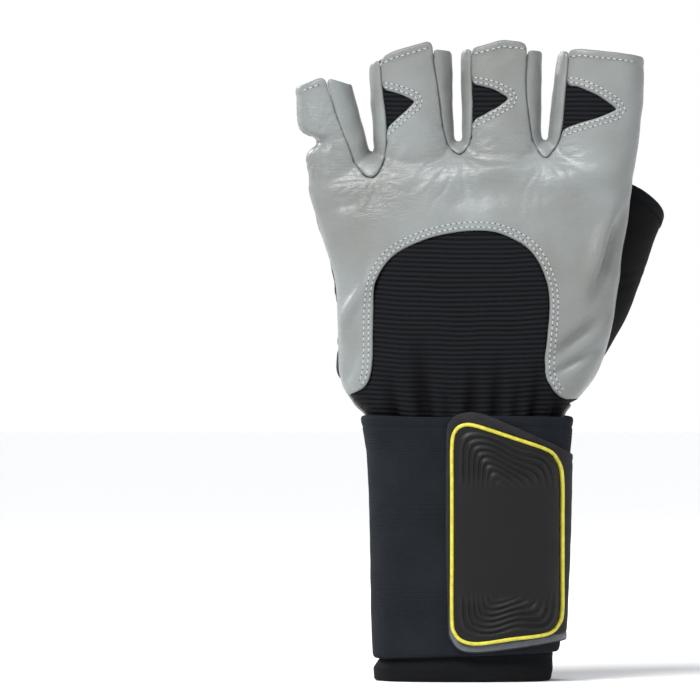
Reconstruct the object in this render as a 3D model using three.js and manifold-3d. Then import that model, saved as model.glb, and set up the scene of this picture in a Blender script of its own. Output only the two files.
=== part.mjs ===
// Fingerless weightlifting glove for the left hand, with a wrist wrap.
// Millimetres, +Z up. The origin is the middle of the cuff's open mouth.
// The back of the hand faces -Y, the palm +Y, the fingers point up and the thumb is on +X.
import * as THREE from "three";
import Module from "manifold-3d";
import { mergeVertices } from "three/addons/utils/BufferGeometryUtils.js";

const wasm = await Module();
wasm.setup();

// Driving sizes
const cuffHeight = 94;
const cuffWidth = 72;
const cuffDepth = 50;
const handWidth = 118;
const handRise = 136;
const handDepth = 46;
const fingerDepth = 23;
const thumbWidth = 27;
const thumbDepth = 24;
const thumbReach = 72;

// Walls and clearances
const leatherWall = 1.6;
const padWall = 3.0;
const stretchWall = 1.2;
const stretchRecess = 0.6;
const wrapWall = 2.4;
const sleeveWall = 2.0;
const tabWall = 1.6;
const badgeWall = 1.0;
const trimWall = 1.3;
const tabLeafWall = 1.4;
const seamGap = 0.3;

// Smaller sizes that can be set by themselves
const tuckDepth = 11.5;
const sideSeam = 2;
const pullTabWidth = 20;
const pullTabLength = 15;
const pullTabRoll = 4.8;
const thumbHemWidth = 4.5;
const thumbHemRise = 0.5;
const pullTabLap = 5;
const pullTabBow = 2.2;
const pullTabProud = 1.5;
const trimWidth = 1.4;
const sleeveRound = 0.6;

// How finely the round shapes are faceted
const handSides = 32;
const fingerSides = 16;
const thumbSides = 14;
const cuffSides = 32;
const mouthCutSides = 10;
const pullTabSteps = 9;
const curveSteps = 1;

// Squareness of the cross-sections: 2 is an ellipse, more is squarer
const cuffSquareness = 2.5;
const handSquareness = 2.5;
const fingerSquareness = 2.3;
const thumbSquareness = 2;

// Reaches of the cutting blocks: far past the glove, past a mouth, and past the wrap's top
const throughAll = 90;
const overhang = 2;
const headroom = 1.1;
const mouthCut = 0.72;
const sharpestCorner = 0.4;
const thinnestWeb = 0.5;

const paint = {
  leather: { color: 0xa2a9a8, roughness: 0.45 },
  suede: { color: 0x1b2022, roughness: 0.9 },
  stretch: { color: 0x202225, roughness: 0.85 },
  spandex: { color: 0x141416, roughness: 0.8 },
  elastic: { color: 0x2b3036, roughness: 0.9 },
  rim: { color: 0x3c3d42, roughness: 0.6 },
  rubber: { color: 0x1f1e1f, roughness: 0.5 },
  yellow: { color: 0xe0d83c, roughness: 0.5 },
  pale: { color: 0xd0d8de, roughness: 0.5 },
};

// Cuff sections: up is a share of cuffHeight, left and right of cuffWidth, deep of cuffDepth
const cuffSections = [
  { up: 0.000, left: -0.475, right: 0.445, deep: 0.470 },
  { up: 0.050, left: -0.475, right: 0.450, deep: 0.475 },
  { up: 0.083, left: -0.470, right: 0.470, deep: 0.480 },
  { up: 0.480, left: -0.481, right: 0.495, deep: 0.495 },
  { up: 0.880, left: -0.503, right: 0.508, deep: 0.510 },
  { up: 1.000, left: -0.531, right: 0.525, deep: 0.530 },
];

// Hand sections above the cuff: up is a share of handRise, left and right of handWidth,
// back and palm of handDepth. The last four close the web between the fingers.
const handSections = [
  { up: 0.045, left: -0.350, right: 0.335, back: 0.490, palm: 0.520 },
  { up: 0.110, left: -0.385, right: 0.393, back: 0.480, palm: 0.545 },
  { up: 0.205, left: -0.392, right: 0.436, back: 0.470, palm: 0.550 },
  { up: 0.300, left: -0.394, right: 0.456, back: 0.450, palm: 0.525 },
  { up: 0.405, left: -0.412, right: 0.472, back: 0.420, palm: 0.465 },
  { up: 0.520, left: -0.455, right: 0.494, back: 0.375, palm: 0.395 },
  { up: 0.610, left: -0.480, right: 0.506, back: 0.325, palm: 0.330 },
  { up: 0.655, left: -0.450, right: 0.505, back: 0.275, palm: 0.280 },
  { up: 0.690, left: -0.340, right: 0.480, back: 0.210, palm: 0.210 },
  { up: 0.718, left: -0.200, right: 0.420, back: 0.130, palm: 0.130 },
  { up: 0.735, left: -0.080, right: 0.330, back: 0.040, palm: 0.040 },
];
const webSections = 4;

// Finger edges at six heights: up is a share of handRise, the edges are shares of handWidth.
// The third row of the pinky is the deep crease where its sleeve folds over the hand.
const fingerHeights = [0.560, 0.690, 0.735, 0.772, 0.905, 1.045];
const fingers = [
  {
    name: "pinky",
    deep: 0.84,
    left: [-0.455, -0.490, -0.452, -0.512, -0.517, -0.525],
    right: [-0.285, -0.293, -0.303, -0.313, -0.352, -0.372],
  },
  {
    name: "ring",
    deep: 0.98,
    left: [-0.262, -0.279, -0.283, -0.286, -0.295, -0.302],
    right: [-0.036, -0.027, -0.029, -0.033, -0.038, -0.043],
  },
  {
    name: "middle",
    deep: 1.00,
    left: [-0.010, -0.017, -0.017, -0.017, -0.018, -0.019],
    right: [0.222, 0.235, 0.232, 0.229, 0.232, 0.237],
  },
  {
    name: "index",
    deep: 0.98,
    left: [0.262, 0.248, 0.250, 0.252, 0.270, 0.296],
    right: [0.490, 0.520, 0.529, 0.534, 0.543, 0.541],
  },
];
// How far each of those heights leans to the palm, as a share of fingerDepth
const fingerLean = [0.02, 0.03, 0.04, 0.05, 0.12, 0.22];

// Thumb: across, out and up place the middle of each section as shares of
// handWidth, handDepth and thumbReach, and size scales its section
const thumbSections = [
  { across: 0.250, out: 0.130, up: 0.155, size: 0.66 },
  { across: 0.318, out: 0.210, up: 0.350, size: 0.88 },
  { across: 0.384, out: 0.325, up: 0.560, size: 0.98 },
  { across: 0.440, out: 0.465, up: 0.780, size: 0.98 },
  { across: 0.486, out: 0.610, up: 0.980, size: 0.97 },
  { across: 0.520, out: 0.740, up: 1.140, size: 0.97 },
  { across: 0.552, out: 0.865, up: 1.300, size: 0.97 },
];
const thumbCrotchSection = 3;
const thumbEnd = { across: 0.503, out: 0.668, up: 1.130 };
const thumbFacing = new THREE.Vector3(0.46, 0.42, 0.78).normalize();

// Soft folds and dents: across and up are their middle, long and wide their half lengths as
// shares of handWidth, turn is their slope in degrees and deep their depth as a share of handDepth
const folds = [
  { side: -1, across: 0.400, up: 0.360, long: 0.16, wide: 0.040, turn: 62, deep: 0.035 },
  { side: -1, across: 0.370, up: 0.220, long: 0.13, wide: 0.035, turn: 48, deep: 0.030 },
  { side: -1, across: -0.360, up: 0.200, long: 0.14, wide: 0.035, turn: 78, deep: 0.035 },
  { side: -1, across: -0.420, up: 0.560, long: 0.10, wide: 0.030, turn: 10, deep: 0.026 },
  { side: -1, across: 0.080, up: 0.600, long: 0.20, wide: 0.050, turn: 4, deep: 0.020 },
  { side: 1, across: 0.120, up: 0.330, long: 0.16, wide: 0.045, turn: 35, deep: 0.039 },
  { side: 1, across: -0.125, up: 0.400, long: 0.14, wide: 0.040, turn: -35, deep: 0.035 },
  { side: 1, across: 0.100, up: 0.540, long: 0.20, wide: 0.045, turn: 12, deep: 0.035 },
];

// Seam lines on the hand: each point is across, up, as shares of handWidth and handRise
const lobeSplit = 0.300;
const lobeLine = [[0.430, 0.074], [0.348, 0.050]];
const lobeJoinUp = 0.028;
const archEdge = [
  [lobeSplit, 0.049], [0.262, 0.078], [0.240, 0.140], [0.253, 0.300],
  [0.236, 0.380], [0.190, 0.448], [0.110, 0.487], [0.043, 0.497], [-0.043, 0.492],
  [-0.140, 0.470], [-0.225, 0.430], [-0.272, 0.370], [-0.287, 0.280], [-0.290, 0.140],
  [-0.312, 0.085], [-0.380, 0.055],
];
const hemBack = [
  [-0.700, 0.868], [-0.516, 0.881], [-0.439, 0.905], [-0.352, 0.887], [-0.325, 0.925],
  [-0.300, 0.938], [-0.226, 0.971], [-0.110, 1.001], [-0.098, 0.979], [-0.030, 0.974],
  [0.042, 0.987], [0.110, 1.003], [0.178, 0.997], [0.190, 0.977], [0.260, 0.972],
  [0.348, 0.979], [0.470, 0.968], [0.700, 0.940],
];
const hemPalm = [
  [-0.700, 0.850], [-0.500, 0.862], [-0.352, 0.866], [-0.320, 0.915], [-0.200, 0.925],
  [-0.040, 0.930], [0.000, 0.935], [0.230, 0.935], [0.260, 0.940], [0.320, 0.950],
  [0.550, 0.920], [0.700, 0.910],
];
const fourchettes = [
  {
    name: "fourchette_pinky_ring",
    line: [[-0.430, 0.900], [-0.403, 0.823], [-0.369, 0.744], [-0.333, 0.668], [-0.290, 0.636],
      [-0.259, 0.667], [-0.246, 0.717], [-0.248, 0.790], [-0.258, 0.860], [-0.264, 0.930]],
  },
  {
    name: "fourchette_ring_middle",
    line: [[-0.101, 0.960], [-0.085, 0.871], [-0.070, 0.791], [-0.058, 0.722], [-0.022, 0.692],
      [0.010, 0.722], [0.014, 0.780], [0.013, 0.871], [0.012, 0.960]],
  },
  {
    name: "fourchette_middle_index",
    line: [[0.186, 0.960], [0.184, 0.890], [0.189, 0.818], [0.199, 0.740], [0.238, 0.684],
      [0.274, 0.720], [0.287, 0.765], [0.298, 0.860], [0.308, 0.950]],
  },
];
const vents = [
  { name: "knuckle_insert_ring", line: [[-0.275, 0.868], [-0.210, 0.862], [-0.156, 0.839],
    [-0.206, 0.802], [-0.262, 0.752]] },
  { name: "knuckle_insert_middle", line: [[-0.002, 0.882], [0.060, 0.877], [0.131, 0.847],
    [0.067, 0.812], [-0.002, 0.782]] },
  { name: "knuckle_insert_index", line: [[0.280, 0.878], [0.360, 0.872], [0.461, 0.818],
    [0.372, 0.788], [0.272, 0.752]] },
];
const palmCrotches = [
  { name: "crotch_patch_pinky_ring", middle: -0.292, wide: 0.086, low: 0.560, high: 0.655 },
  { name: "crotch_patch_ring_middle", middle: -0.047, wide: 0.092, low: 0.620, high: 0.708 },
  { name: "crotch_patch_middle_index", middle: 0.217, wide: 0.092, low: 0.624, high: 0.706 },
];
const patchCorner = 0.02;
const padArc = [
  [-0.330, 0.450], [-0.175, 0.416], [-0.126, 0.392], [-0.045, 0.452], [0.052, 0.517],
  [0.181, 0.556], [0.300, 0.566], [0.362, 0.542], [0.386, 0.508],
];
const palmEdge = [
  [-0.288, 0.101], [-0.142, 0.123], [0.019, 0.143], [0.110, 0.180], [0.195, 0.243],
  [0.271, 0.324], [0.331, 0.404], [0.377, 0.485], [0.411, 0.566], [0.432, 0.647], [0.450, 0.740],
];
const spandexEdge = [
  [0.133, 0.056], [0.181, 0.129], [0.254, 0.213], [0.322, 0.309], [0.377, 0.397],
  [0.415, 0.478], [0.441, 0.559], [0.458, 0.647], [0.470, 0.740],
];
const spandexLow = [[0.430, 0.074], [0.390, 0.066], [0.350, 0.050], [0.300, 0.034], [0.181, 0.031]];
const wristSeam = [[0.022, 0.143], [0.100, 0.059], [0.110, 0.020]];

// Soft pull tabs: middle is a share of handWidth
const pullTabs = [
  { name: "pull_tab_ring", finger: "ring", middle: -0.196 },
  { name: "pull_tab_middle", finger: "middle", middle: 0.093 },
];
const pullTabHem = 0.900;
const pullTabShoulder = 0.25;
const pullTabTip = 0.12;

// Strap tab on the cuff: across is a share of cuffWidth, up of cuffHeight
const tabOutline = [
  [-0.106, 0.500], [-0.104, 0.930], [-0.085, 0.996], [-0.040, 1.022], [0.031, 1.029],
  [0.120, 1.010], [0.444, 0.904], [0.540, 0.868], [0.700, 0.840],
];
const tabUnderside = [
  [0.700, 0.180], [0.500, 0.155], [0.300, 0.132], [0.120, 0.115], [0.020, 0.111],
  [-0.050, 0.125], [-0.095, 0.175],
];
const trimOutline = [
  [-0.075, 0.500], [-0.075, 0.900], [-0.060, 0.955], [-0.020, 0.977], [0.045, 0.977],
  [0.390, 0.885], [0.440, 0.855], [0.469, 0.785], [0.469, 0.260], [0.448, 0.218],
  [0.395, 0.184], [0.060, 0.149], [-0.020, 0.160], [-0.062, 0.190], [-0.075, 0.240],
];
const wrapLowBack = [[-0.9, 0.087], [0.9, 0.135]];
const wrapLowPalm = [[-0.9, 0.087], [0.9, 0.215]];

// A closed loft through rings of equal length, the rings running counterclockwise from above
function loft(rings) {
  const around = rings[0].length;
  const corners = rings.flat();
  const faces = [];
  for (let row = 0; row + 1 < rings.length; row += 1) {
    for (let side = 0; side < around; side += 1) {
      const next = (side + 1) % around;
      const low = row * around;
      const high = low + around;
      faces.push(low + side, low + next, high + next);
      faces.push(low + side, high + next, high + side);
    }
  }
  const top = (rings.length - 1) * around;
  for (const [start, turned] of [[0, true], [top, false]]) {
    const middle = new THREE.Vector3();
    for (let side = 0; side < around; side += 1) {
      middle.addScaledVector(corners[start + side], 1 / around);
    }
    const hub = corners.push(middle) - 1;
    for (let side = 0; side < around; side += 1) {
      const next = (side + 1) % around;
      if (turned) {
        faces.push(hub, start + next, start + side);
      } else {
        faces.push(hub, start + side, start + next);
      }
    }
  }
  const geometry = new THREE.BufferGeometry().setFromPoints(corners);
  geometry.setIndex(faces);
  return solid(geometry);
}

function solid(source) {
  const bare = source.clone();
  bare.deleteAttribute("normal");
  bare.deleteAttribute("uv");
  const merged = mergeVertices(bare, 1e-5);
  return new wasm.Manifold(new wasm.Mesh({
    numProp: 3,
    vertProperties: new Float32Array(merged.attributes.position.array),
    triVerts: new Uint32Array(merged.index.array),
  }));
}

function union(parts) {
  return parts.reduce((whole, part) => whole.add(part));
}

// A point on a rounded rectangle: 2 is an ellipse, more is squarer
function roundedPoint(angle, squareness) {
  const power = 2 / squareness;
  const across = Math.cos(angle);
  const deep = Math.sin(angle);
  return {
    across: Math.sign(across) * Math.abs(across) ** power,
    deep: Math.sign(deep) * Math.abs(deep) ** power,
  };
}

function flatRing(box, height, sides, squareness) {
  const ring = [];
  const middle = (box.left + box.right) / 2;
  const half = (box.right - box.left) / 2;
  for (let side = 0; side < sides; side += 1) {
    const unit = roundedPoint((side / sides) * 2 * Math.PI, squareness);
    const deep = unit.deep < 0 ? box.back : box.palm;
    ring.push(new THREE.Vector3(middle + half * unit.across, (box.shift ?? 0) + deep * unit.deep, height));
  }
  return ring;
}

// The cuff's outline at a height, grown outward by an amount
function cuffBox(height, grow) {
  const up = THREE.MathUtils.clamp(height / cuffHeight, 0, 1);
  let row = 1;
  while (row + 1 < cuffSections.length && cuffSections[row].up < up) {
    row += 1;
  }
  const low = cuffSections[row - 1];
  const high = cuffSections[row];
  const share = (up - low.up) / (high.up - low.up);
  const deep = THREE.MathUtils.lerp(low.deep, high.deep, share) * cuffDepth + grow;
  return {
    left: THREE.MathUtils.lerp(low.left, high.left, share) * cuffWidth - grow,
    right: THREE.MathUtils.lerp(low.right, high.right, share) * cuffWidth + grow,
    back: deep,
    palm: deep,
  };
}

function cuffLoft(stops) {
  return loft(stops.map(([height, grow]) => (
    flatRing(cuffBox(height, grow), height, cuffSides, cuffSquareness))));
}

// How far the folds pull the surface in at a point, on the back (-1) or the palm (+1)
function foldAt(point) {
  const side = Math.sign(point.y);
  let pull = 0;
  for (const fold of folds.filter((item) => item.side === side)) {
    const turn = THREE.MathUtils.degToRad(fold.turn);
    const east = point.x - fold.across * handWidth;
    const north = point.z - cuffHeight - fold.up * handRise;
    const along = (east * Math.cos(turn) + north * Math.sin(turn)) / (fold.long * handWidth);
    const over = (north * Math.cos(turn) - east * Math.sin(turn)) / (fold.wide * handWidth);
    pull += fold.deep * handDepth * Math.exp(-along * along - over * over);
  }
  return pull;
}

// The body of the hand, grown outward by an amount; its foot is tucked inside the wrap
function handBody(grow, foot) {
  const tucked = -wrapWall - seamGap + grow;
  const rings = [cuffHeight - tuckDepth - foot, cuffHeight].map((height) => (
    flatRing(cuffBox(height, tucked), height, handSides, cuffSquareness)));
  const firstWeb = handSections.length - webSections;
  handSections.forEach((section, row) => {
    const sunk = row >= firstWeb ? grow : 0;
    const box = {
      left: section.left * handWidth - grow,
      right: section.right * handWidth + grow,
      back: Math.max(section.back * handDepth + grow, thinnestWeb),
      palm: Math.max(section.palm * handDepth + grow, thinnestWeb),
    };
    const height = cuffHeight + section.up * handRise + sunk;
    rings.push(flatRing(box, height, handSides, handSquareness));
  });
  for (const point of rings.flat()) {
    point.y -= Math.sign(point.y) * foldAt(point);
  }
  return loft(rings);
}

function fingerTube(finger, grow, extra) {
  const rings = fingerHeights.map((up, row) => {
    const deep = (finger.deep * fingerDepth) / 2 + grow;
    const last = row + 1 === fingerHeights.length;
    const box = {
      left: finger.left[row] * handWidth - grow,
      right: finger.right[row] * handWidth + grow,
      back: deep,
      palm: deep,
      shift: fingerLean[row] * fingerDepth,
    };
    const height = cuffHeight + up * handRise + (last ? extra : 0);
    return flatRing(box, height, fingerSides, fingerSquareness);
  });
  return loft(rings);
}

function thumbPoint(place) {
  return new THREE.Vector3(
    place.across * handWidth,
    place.out * handDepth,
    cuffHeight + place.up * thumbReach,
  );
}

function thumbTube(grow) {
  const middles = thumbSections.map(thumbPoint);
  const rings = middles.map((middle, row) => {
    const before = middles[Math.max(row - 1, 0)];
    const after = middles[Math.min(row + 1, middles.length - 1)];
    const axis = after.clone().sub(before).normalize();
    const wide = new THREE.Vector3(1, 0, 0).addScaledVector(axis, -axis.x).normalize();
    const thick = axis.clone().cross(wide);
    const size = thumbSections[row].size;
    const ring = [];
    for (let side = 0; side < thumbSides; side += 1) {
      const unit = roundedPoint((side / thumbSides) * 2 * Math.PI, thumbSquareness);
      ring.push(middle.clone()
        .addScaledVector(wide, ((thumbWidth / 2) * size + grow) * unit.across)
        .addScaledVector(thick, ((thumbDepth / 2) * size + grow) * unit.deep));
    }
    return ring;
  });
  return loft(rings);
}

// Everything past a plane square to the thumb's mouth, set back along it by an amount
function pastThumb(back) {
  const radius = thumbWidth * mouthCut;
  const block = new THREE.CylinderGeometry(radius, radius, thumbReach, mouthCutSides);
  block.translate(0, thumbReach / 2, 0);
  block.applyQuaternion(new THREE.Quaternion().setFromUnitVectors(
    new THREE.Vector3(0, 1, 0),
    thumbFacing,
  ));
  const place = thumbPoint(thumbEnd).addScaledVector(thumbFacing, -back);
  block.translate(place.x, place.y, place.z);
  return solid(block);
}

// Outlines on the hand or the cuff, in millimetres
const onHand = ([across, up]) => new THREE.Vector2(across * handWidth, cuffHeight + up * handRise);
const onCuff = ([across, up]) => new THREE.Vector2(across * cuffWidth, up * cuffHeight);

function smooth(points, steps = curveSteps) {
  return new THREE.SplineCurve(points).getPoints((points.length - 1) * steps);
}

// Moves each side of a closed outline outward by an amount
function grown(points, amount) {
  const forward = THREE.ShapeUtils.area(points) > 0 ? 1 : -1;
  return points.map((point, place) => {
    const before = points[(place + points.length - 1) % points.length];
    const after = points[(place + 1) % points.length];
    const first = point.clone().sub(before).normalize();
    const second = after.clone().sub(point).normalize();
    const out = new THREE.Vector2(first.y + second.y, -first.x - second.x).normalize();
    const lean = Math.max(out.x * first.y - out.y * first.x, sharpestCorner);
    return point.clone().addScaledVector(out, (forward * amount) / lean);
  });
}

// A block with the outline in X and Z, from one depth to another along Y
function prism(points, from, to) {
  const block = new THREE.ExtrudeGeometry(new THREE.Shape(points), {
    depth: to - from,
    bevelEnabled: false,
    steps: 1,
  });
  block.rotateX(Math.PI / 2);
  block.translate(0, to, 0);
  return solid(block);
}

// A block with the outline in Y and Z, right through along X
function sideways(points) {
  const block = new THREE.ExtrudeGeometry(new THREE.Shape(points), {
    depth: 2 * throughAll,
    bevelEnabled: false,
    steps: 1,
  });
  block.applyMatrix4(new THREE.Matrix4().makeBasis(
    new THREE.Vector3(0, 1, 0),
    new THREE.Vector3(0, 0, 1),
    new THREE.Vector3(1, 0, 0),
  ));
  block.translate(-throughAll, 0, 0);
  return solid(block);
}

const halfGap = seamGap / 2;
const onBack = (points) => prism(points, -throughAll, sideSeam - halfGap);
const onPalm = (points) => prism(points, sideSeam + halfGap, throughAll);
const through = (points) => prism(points, -throughAll, throughAll);
const far = 0.8;
const below = -0.15;
const above = 1.5;

// Forms of the whole glove above the cuff
const outside = union([handBody(0, 0), ...fingers.map((finger) => fingerTube(finger, 0, 0)), thumbTube(0)]);
function hollow(wall) {
  return union([
    handBody(-wall, overhang),
    ...fingers.map((finger) => fingerTube(finger, -wall, overhang)),
    thumbTube(-wall),
  ]);
}
const sky = [onHand([far, above]), onHand([-far, above])];
const aboveBackHem = prism([...hemBack.map(onHand), ...sky], -throughAll, sideSeam);
const abovePalmHem = prism([...hemPalm.map(onHand), ...sky], sideSeam, throughAll);
const wall = outside
  .subtract(hollow(leatherWall))
  .subtract(aboveBackHem)
  .subtract(abovePalmHem)
  .subtract(pastThumb(0));
const leatherSkin = wall.subtract(pastThumb(thumbHemWidth));

// Zones that the seams share out
const archLine = smooth(archEdge.map(onHand));
const archZone = [
  onHand([lobeSplit, below]), ...archLine, onHand([-far, archEdge.at(-1)[1]]), onHand([-far, below]),
];
const lobeZone = [
  onHand([lobeSplit, below]), onHand([far, below]), onHand([far, lobeLine[0][1]]), ...lobeLine.map(onHand),
  archLine[0],
];
const fourchetteZones = fourchettes.map((item) => [
  onHand([item.line[0][0], above]),
  ...smooth(item.line.map(onHand)),
  onHand([item.line.at(-1)[0], above]),
]);
const ventZones = vents.map((item) => item.line.map(onHand));
const patchZones = palmCrotches.map((item) => {
  const half = item.wide / 2;
  const corner = patchCorner;
  return [
    onHand([item.middle - half, item.high]),
    onHand([item.middle - half, item.low + corner]),
    onHand([item.middle - half + corner, item.low]),
    onHand([item.middle + half - corner, item.low]),
    onHand([item.middle + half, item.low + corner]),
    onHand([item.middle + half, item.high]),
    onHand([item.middle, item.high - corner]),
  ];
});

const group = new THREE.Group();

function addPiece(name, form, look) {
  const { vertProperties, triVerts } = form.getMesh();
  const geometry = new THREE.BufferGeometry();
  geometry.setAttribute("position", new THREE.BufferAttribute(vertProperties, 3));
  geometry.setIndex(new THREE.BufferAttribute(triVerts, 1));
  geometry.computeVertexNormals();
  const material = new THREE.MeshStandardMaterial({ ...look, metalness: 0 });
  const mesh = new THREE.Mesh(geometry, material);
  mesh.name = name;
  group.add(mesh);
}

// Leather back of the hand, one piece from the wrist lobes to the finger hems
const everything = [onHand([-far, below]), onHand([far, below]), ...sky];
let backShell = leatherSkin.intersect(onBack(everything));
for (const zone of [archZone, lobeZone]) {
  backShell = backShell.subtract(onBack(grown(zone, halfGap)));
}
for (const zone of [...fourchetteZones, ...ventZones]) {
  backShell = backShell.subtract(through(grown(zone, halfGap)));
}
addPiece("back_shell", backShell, paint.leather);

// Ribbed stretch panel under the arch, set a little below the leather
const lowered = handBody(-stretchRecess, 0).subtract(handBody(-stretchRecess - stretchWall, overhang));
const panel = lowered.intersect(onBack(grown(archZone, -halfGap)));
addPiece("stretch_panel", panel, paint.stretch);

// Ribbed inserts in the knuckle vents
const sunken = union([
  handBody(-stretchRecess, 0),
  ...fingers.map((finger) => fingerTube(finger, -stretchRecess, 0)),
]).subtract(hollow(leatherWall));
vents.forEach((item, place) => {
  const insert = sunken
    .intersect(onBack(grown(ventZones[place], -halfGap)))
    .subtract(through(grown(fourchetteZones[place], halfGap)));
  addPiece(item.name, insert, paint.stretch);
});

// Side walls of the fingers, one U-shaped strip for each gap
fourchettes.forEach((item, place) => {
  const strip = leatherSkin
    .intersect(through(grown(fourchetteZones[place], -halfGap)))
    .subtract(onPalm(grown(patchZones[place], halfGap)));
  addPiece(item.name, strip, paint.leather);
});

// Pale patches at the foot of the gaps, on the palm side
palmCrotches.forEach((item, place) => {
  const patch = leatherSkin.intersect(onPalm(grown(patchZones[place], -halfGap)));
  addPiece(item.name, patch, paint.pale);
});

// Palm: suede over the fingers' roots, a padded part below the arc, and the thumb's three parts
const thumbZone = thumbTube(halfGap);
const padLine = smooth(padArc.map(onHand));
const edgeLine = smooth(palmEdge.map(onHand));
const edgeAtSeam = edgeLine.findIndex((point) => point.x > onHand(wristSeam[0]).x);
const spandexLine = smooth(spandexEdge.map(onHand));
const archEnd = padArc.at(-1)[1];
const upperZone = [...padLine, onHand([far, archEnd]), ...sky, onHand([-far, padArc[0][1]])];
const lowerZone = [
  ...padLine, onHand([far, archEnd]), onHand([far, below]), onHand([-far, below]), onHand([-far, padArc[0][1]]),
];
const wristLine = wristSeam.map(onHand);
const wristZone = [
  onHand([-far, below]), onHand([wristSeam.at(-1)[0], below]), ...wristLine.toReversed(),
  ...edgeLine.slice(0, edgeAtSeam).toReversed(), onHand([-far, palmEdge[0][1]]),
];
const thumbSideZone = [
  onHand([wristSeam.at(-1)[0], below]), onHand([far, below]), onHand([far, palmEdge.at(-1)[1]]),
  ...edgeLine.slice(edgeAtSeam).toReversed(), ...wristLine,
];
const lowEdge = smooth(spandexLow.map(onHand));
const spandexSide = [onHand([far, spandexEdge.at(-1)[1]]), onHand([far, spandexLow[0][1]]), ...lowEdge];
const spandexZone = [...spandexLine, ...spandexSide];
const stripZone = [
  onHand([wristSeam.at(-1)[0], below]), onHand([far, below]), onHand([far, spandexLow[0][1]]),
  ...lowEdge, ...spandexLine, ...edgeLine.slice(edgeAtSeam).toReversed(), ...wristLine,
];
const belowCrotch = onPalm([
  onHand([-far, below]), onHand([far, below]), onHand([far, archEnd]), onHand([-far, archEnd]),
]);

// The side of the thumb that faces the back of the hand, past its crotch, grown by an amount
function behindThumb(grow) {
  const freeMiddles = thumbSections.slice(thumbCrotchSection).map(thumbPoint);
  return sideways([
    new THREE.Vector2(-throughAll, freeMiddles[0].z - grow),
    new THREE.Vector2(freeMiddles[0].y + grow, freeMiddles[0].z - grow),
    ...freeMiddles.slice(1).map((point) => new THREE.Vector2(point.y + grow, point.z)),
    new THREE.Vector2(-throughAll, freeMiddles.at(-1).z),
  ]);
}

let upperPalm = leatherSkin.intersect(onPalm(grown(upperZone, -halfGap)));
for (const zone of fourchetteZones) {
  upperPalm = upperPalm.subtract(through(grown(zone, halfGap)));
}
for (const zone of patchZones) {
  upperPalm = upperPalm.subtract(onPalm(grown(zone, halfGap)));
}
addPiece("palm_suede", upperPalm.subtract(thumbTube(seamGap)), paint.suede);

const padOutside = union([handBody(padWall - leatherWall, 0), thumbTube(0)]);
const padSkin = padOutside.subtract(hollow(leatherWall)).subtract(pastThumb(thumbHemWidth));
const pad = padSkin
  .intersect(onPalm(grown(lowerZone, -halfGap)).add(thumbZone.intersect(onPalm(everything))))
  .subtract(onPalm(grown(wristZone, halfGap)))
  .subtract(onPalm(grown(thumbSideZone, halfGap)));
addPiece("palm_pad", pad, paint.suede);

addPiece("wrist_band", leatherSkin.intersect(onPalm(grown(wristZone, -halfGap))), paint.leather);

const lobeJoin = prism(grown([
  onHand([lobeSplit, below]), onHand([far, below]), onHand([far, lobeJoinUp]), onHand([lobeSplit, lobeJoinUp]),
], -halfGap), 0, sideSeam + seamGap);
const lobe = onBack(grown(lobeZone, -halfGap)).add(lobeJoin);
const stripReach = onPalm(grown(stripZone, -halfGap));
const strip = leatherSkin
  .intersect(stripReach.intersect(belowCrotch).add(stripReach.intersect(thumbZone)).add(lobe))
  .subtract(behindThumb(halfGap));
addPiece("thumb_strip", strip, paint.leather);

const spandexReach = onPalm(grown(spandexZone, -halfGap));
const thumbBack = onPalm(grown(thumbSideZone, -halfGap)).intersect(behindThumb(-halfGap)).intersect(thumbZone);
const spandex = leatherSkin.intersect(
  spandexReach.intersect(belowCrotch).add(spandexReach.intersect(thumbZone)).add(thumbBack),
);
addPiece("thumb_spandex", spandex, paint.spandex);

const hem = thumbTube(thumbHemRise)
  .subtract(thumbTube(-leatherWall))
  .intersect(pastThumb(thumbHemWidth - seamGap))
  .subtract(pastThumb(0));
addPiece("thumb_hem", hem, paint.spandex);

// Soft tabs on two fingertips that roll over toward the palm
for (const { name, finger, middle } of pullTabs) {
  const form = fingers.find((item) => item.name === finger);
  const face = (form.deep * fingerDepth) / 2 + fingerLean.at(-2) * fingerDepth + pullTabProud;
  const hemHeight = cuffHeight + pullTabHem * handRise;
  const rings = [];
  for (let step = 0; step <= pullTabSteps; step += 1) {
    const along = (step / pullTabSteps) * (pullTabLap + pullTabLength);
    const free = Math.max(along - pullTabLap, 0);
    const angle = free / pullTabRoll;
    const height = hemHeight - Math.max(pullTabLap - along, 0) + pullTabRoll * Math.sin(angle);
    const out = face + pullTabRoll * (1 - Math.cos(angle));
    const point = Math.max(free / pullTabLength - pullTabShoulder, 0) / (1 - pullTabShoulder);
    const half = (pullTabWidth / 2) * Math.max(Math.sqrt(1 - point ** 2), pullTabTip);
    const normal = new THREE.Vector2(Math.cos(angle), -Math.sin(angle)).multiplyScalar(tabLeafWall);
    const ring = [];
    for (const [side, leaf] of [[-1, 0], [0, 0], [1, 0], [1, 1], [0, 1], [-1, 1]]) {
      const bow = -pullTabBow * side * side * (half / (pullTabWidth / 2)) ** 2;
      ring.push(new THREE.Vector3(
        middle * handWidth + side * half,
        out + leaf * normal.x + bow * Math.cos(angle),
        height + leaf * normal.y - bow * Math.sin(angle),
      ));
    }
    rings.push(ring);
  }
  addPiece(name, loft(rings).subtract(fingerTube(form, seamGap, 0)), paint.suede);
}

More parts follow.
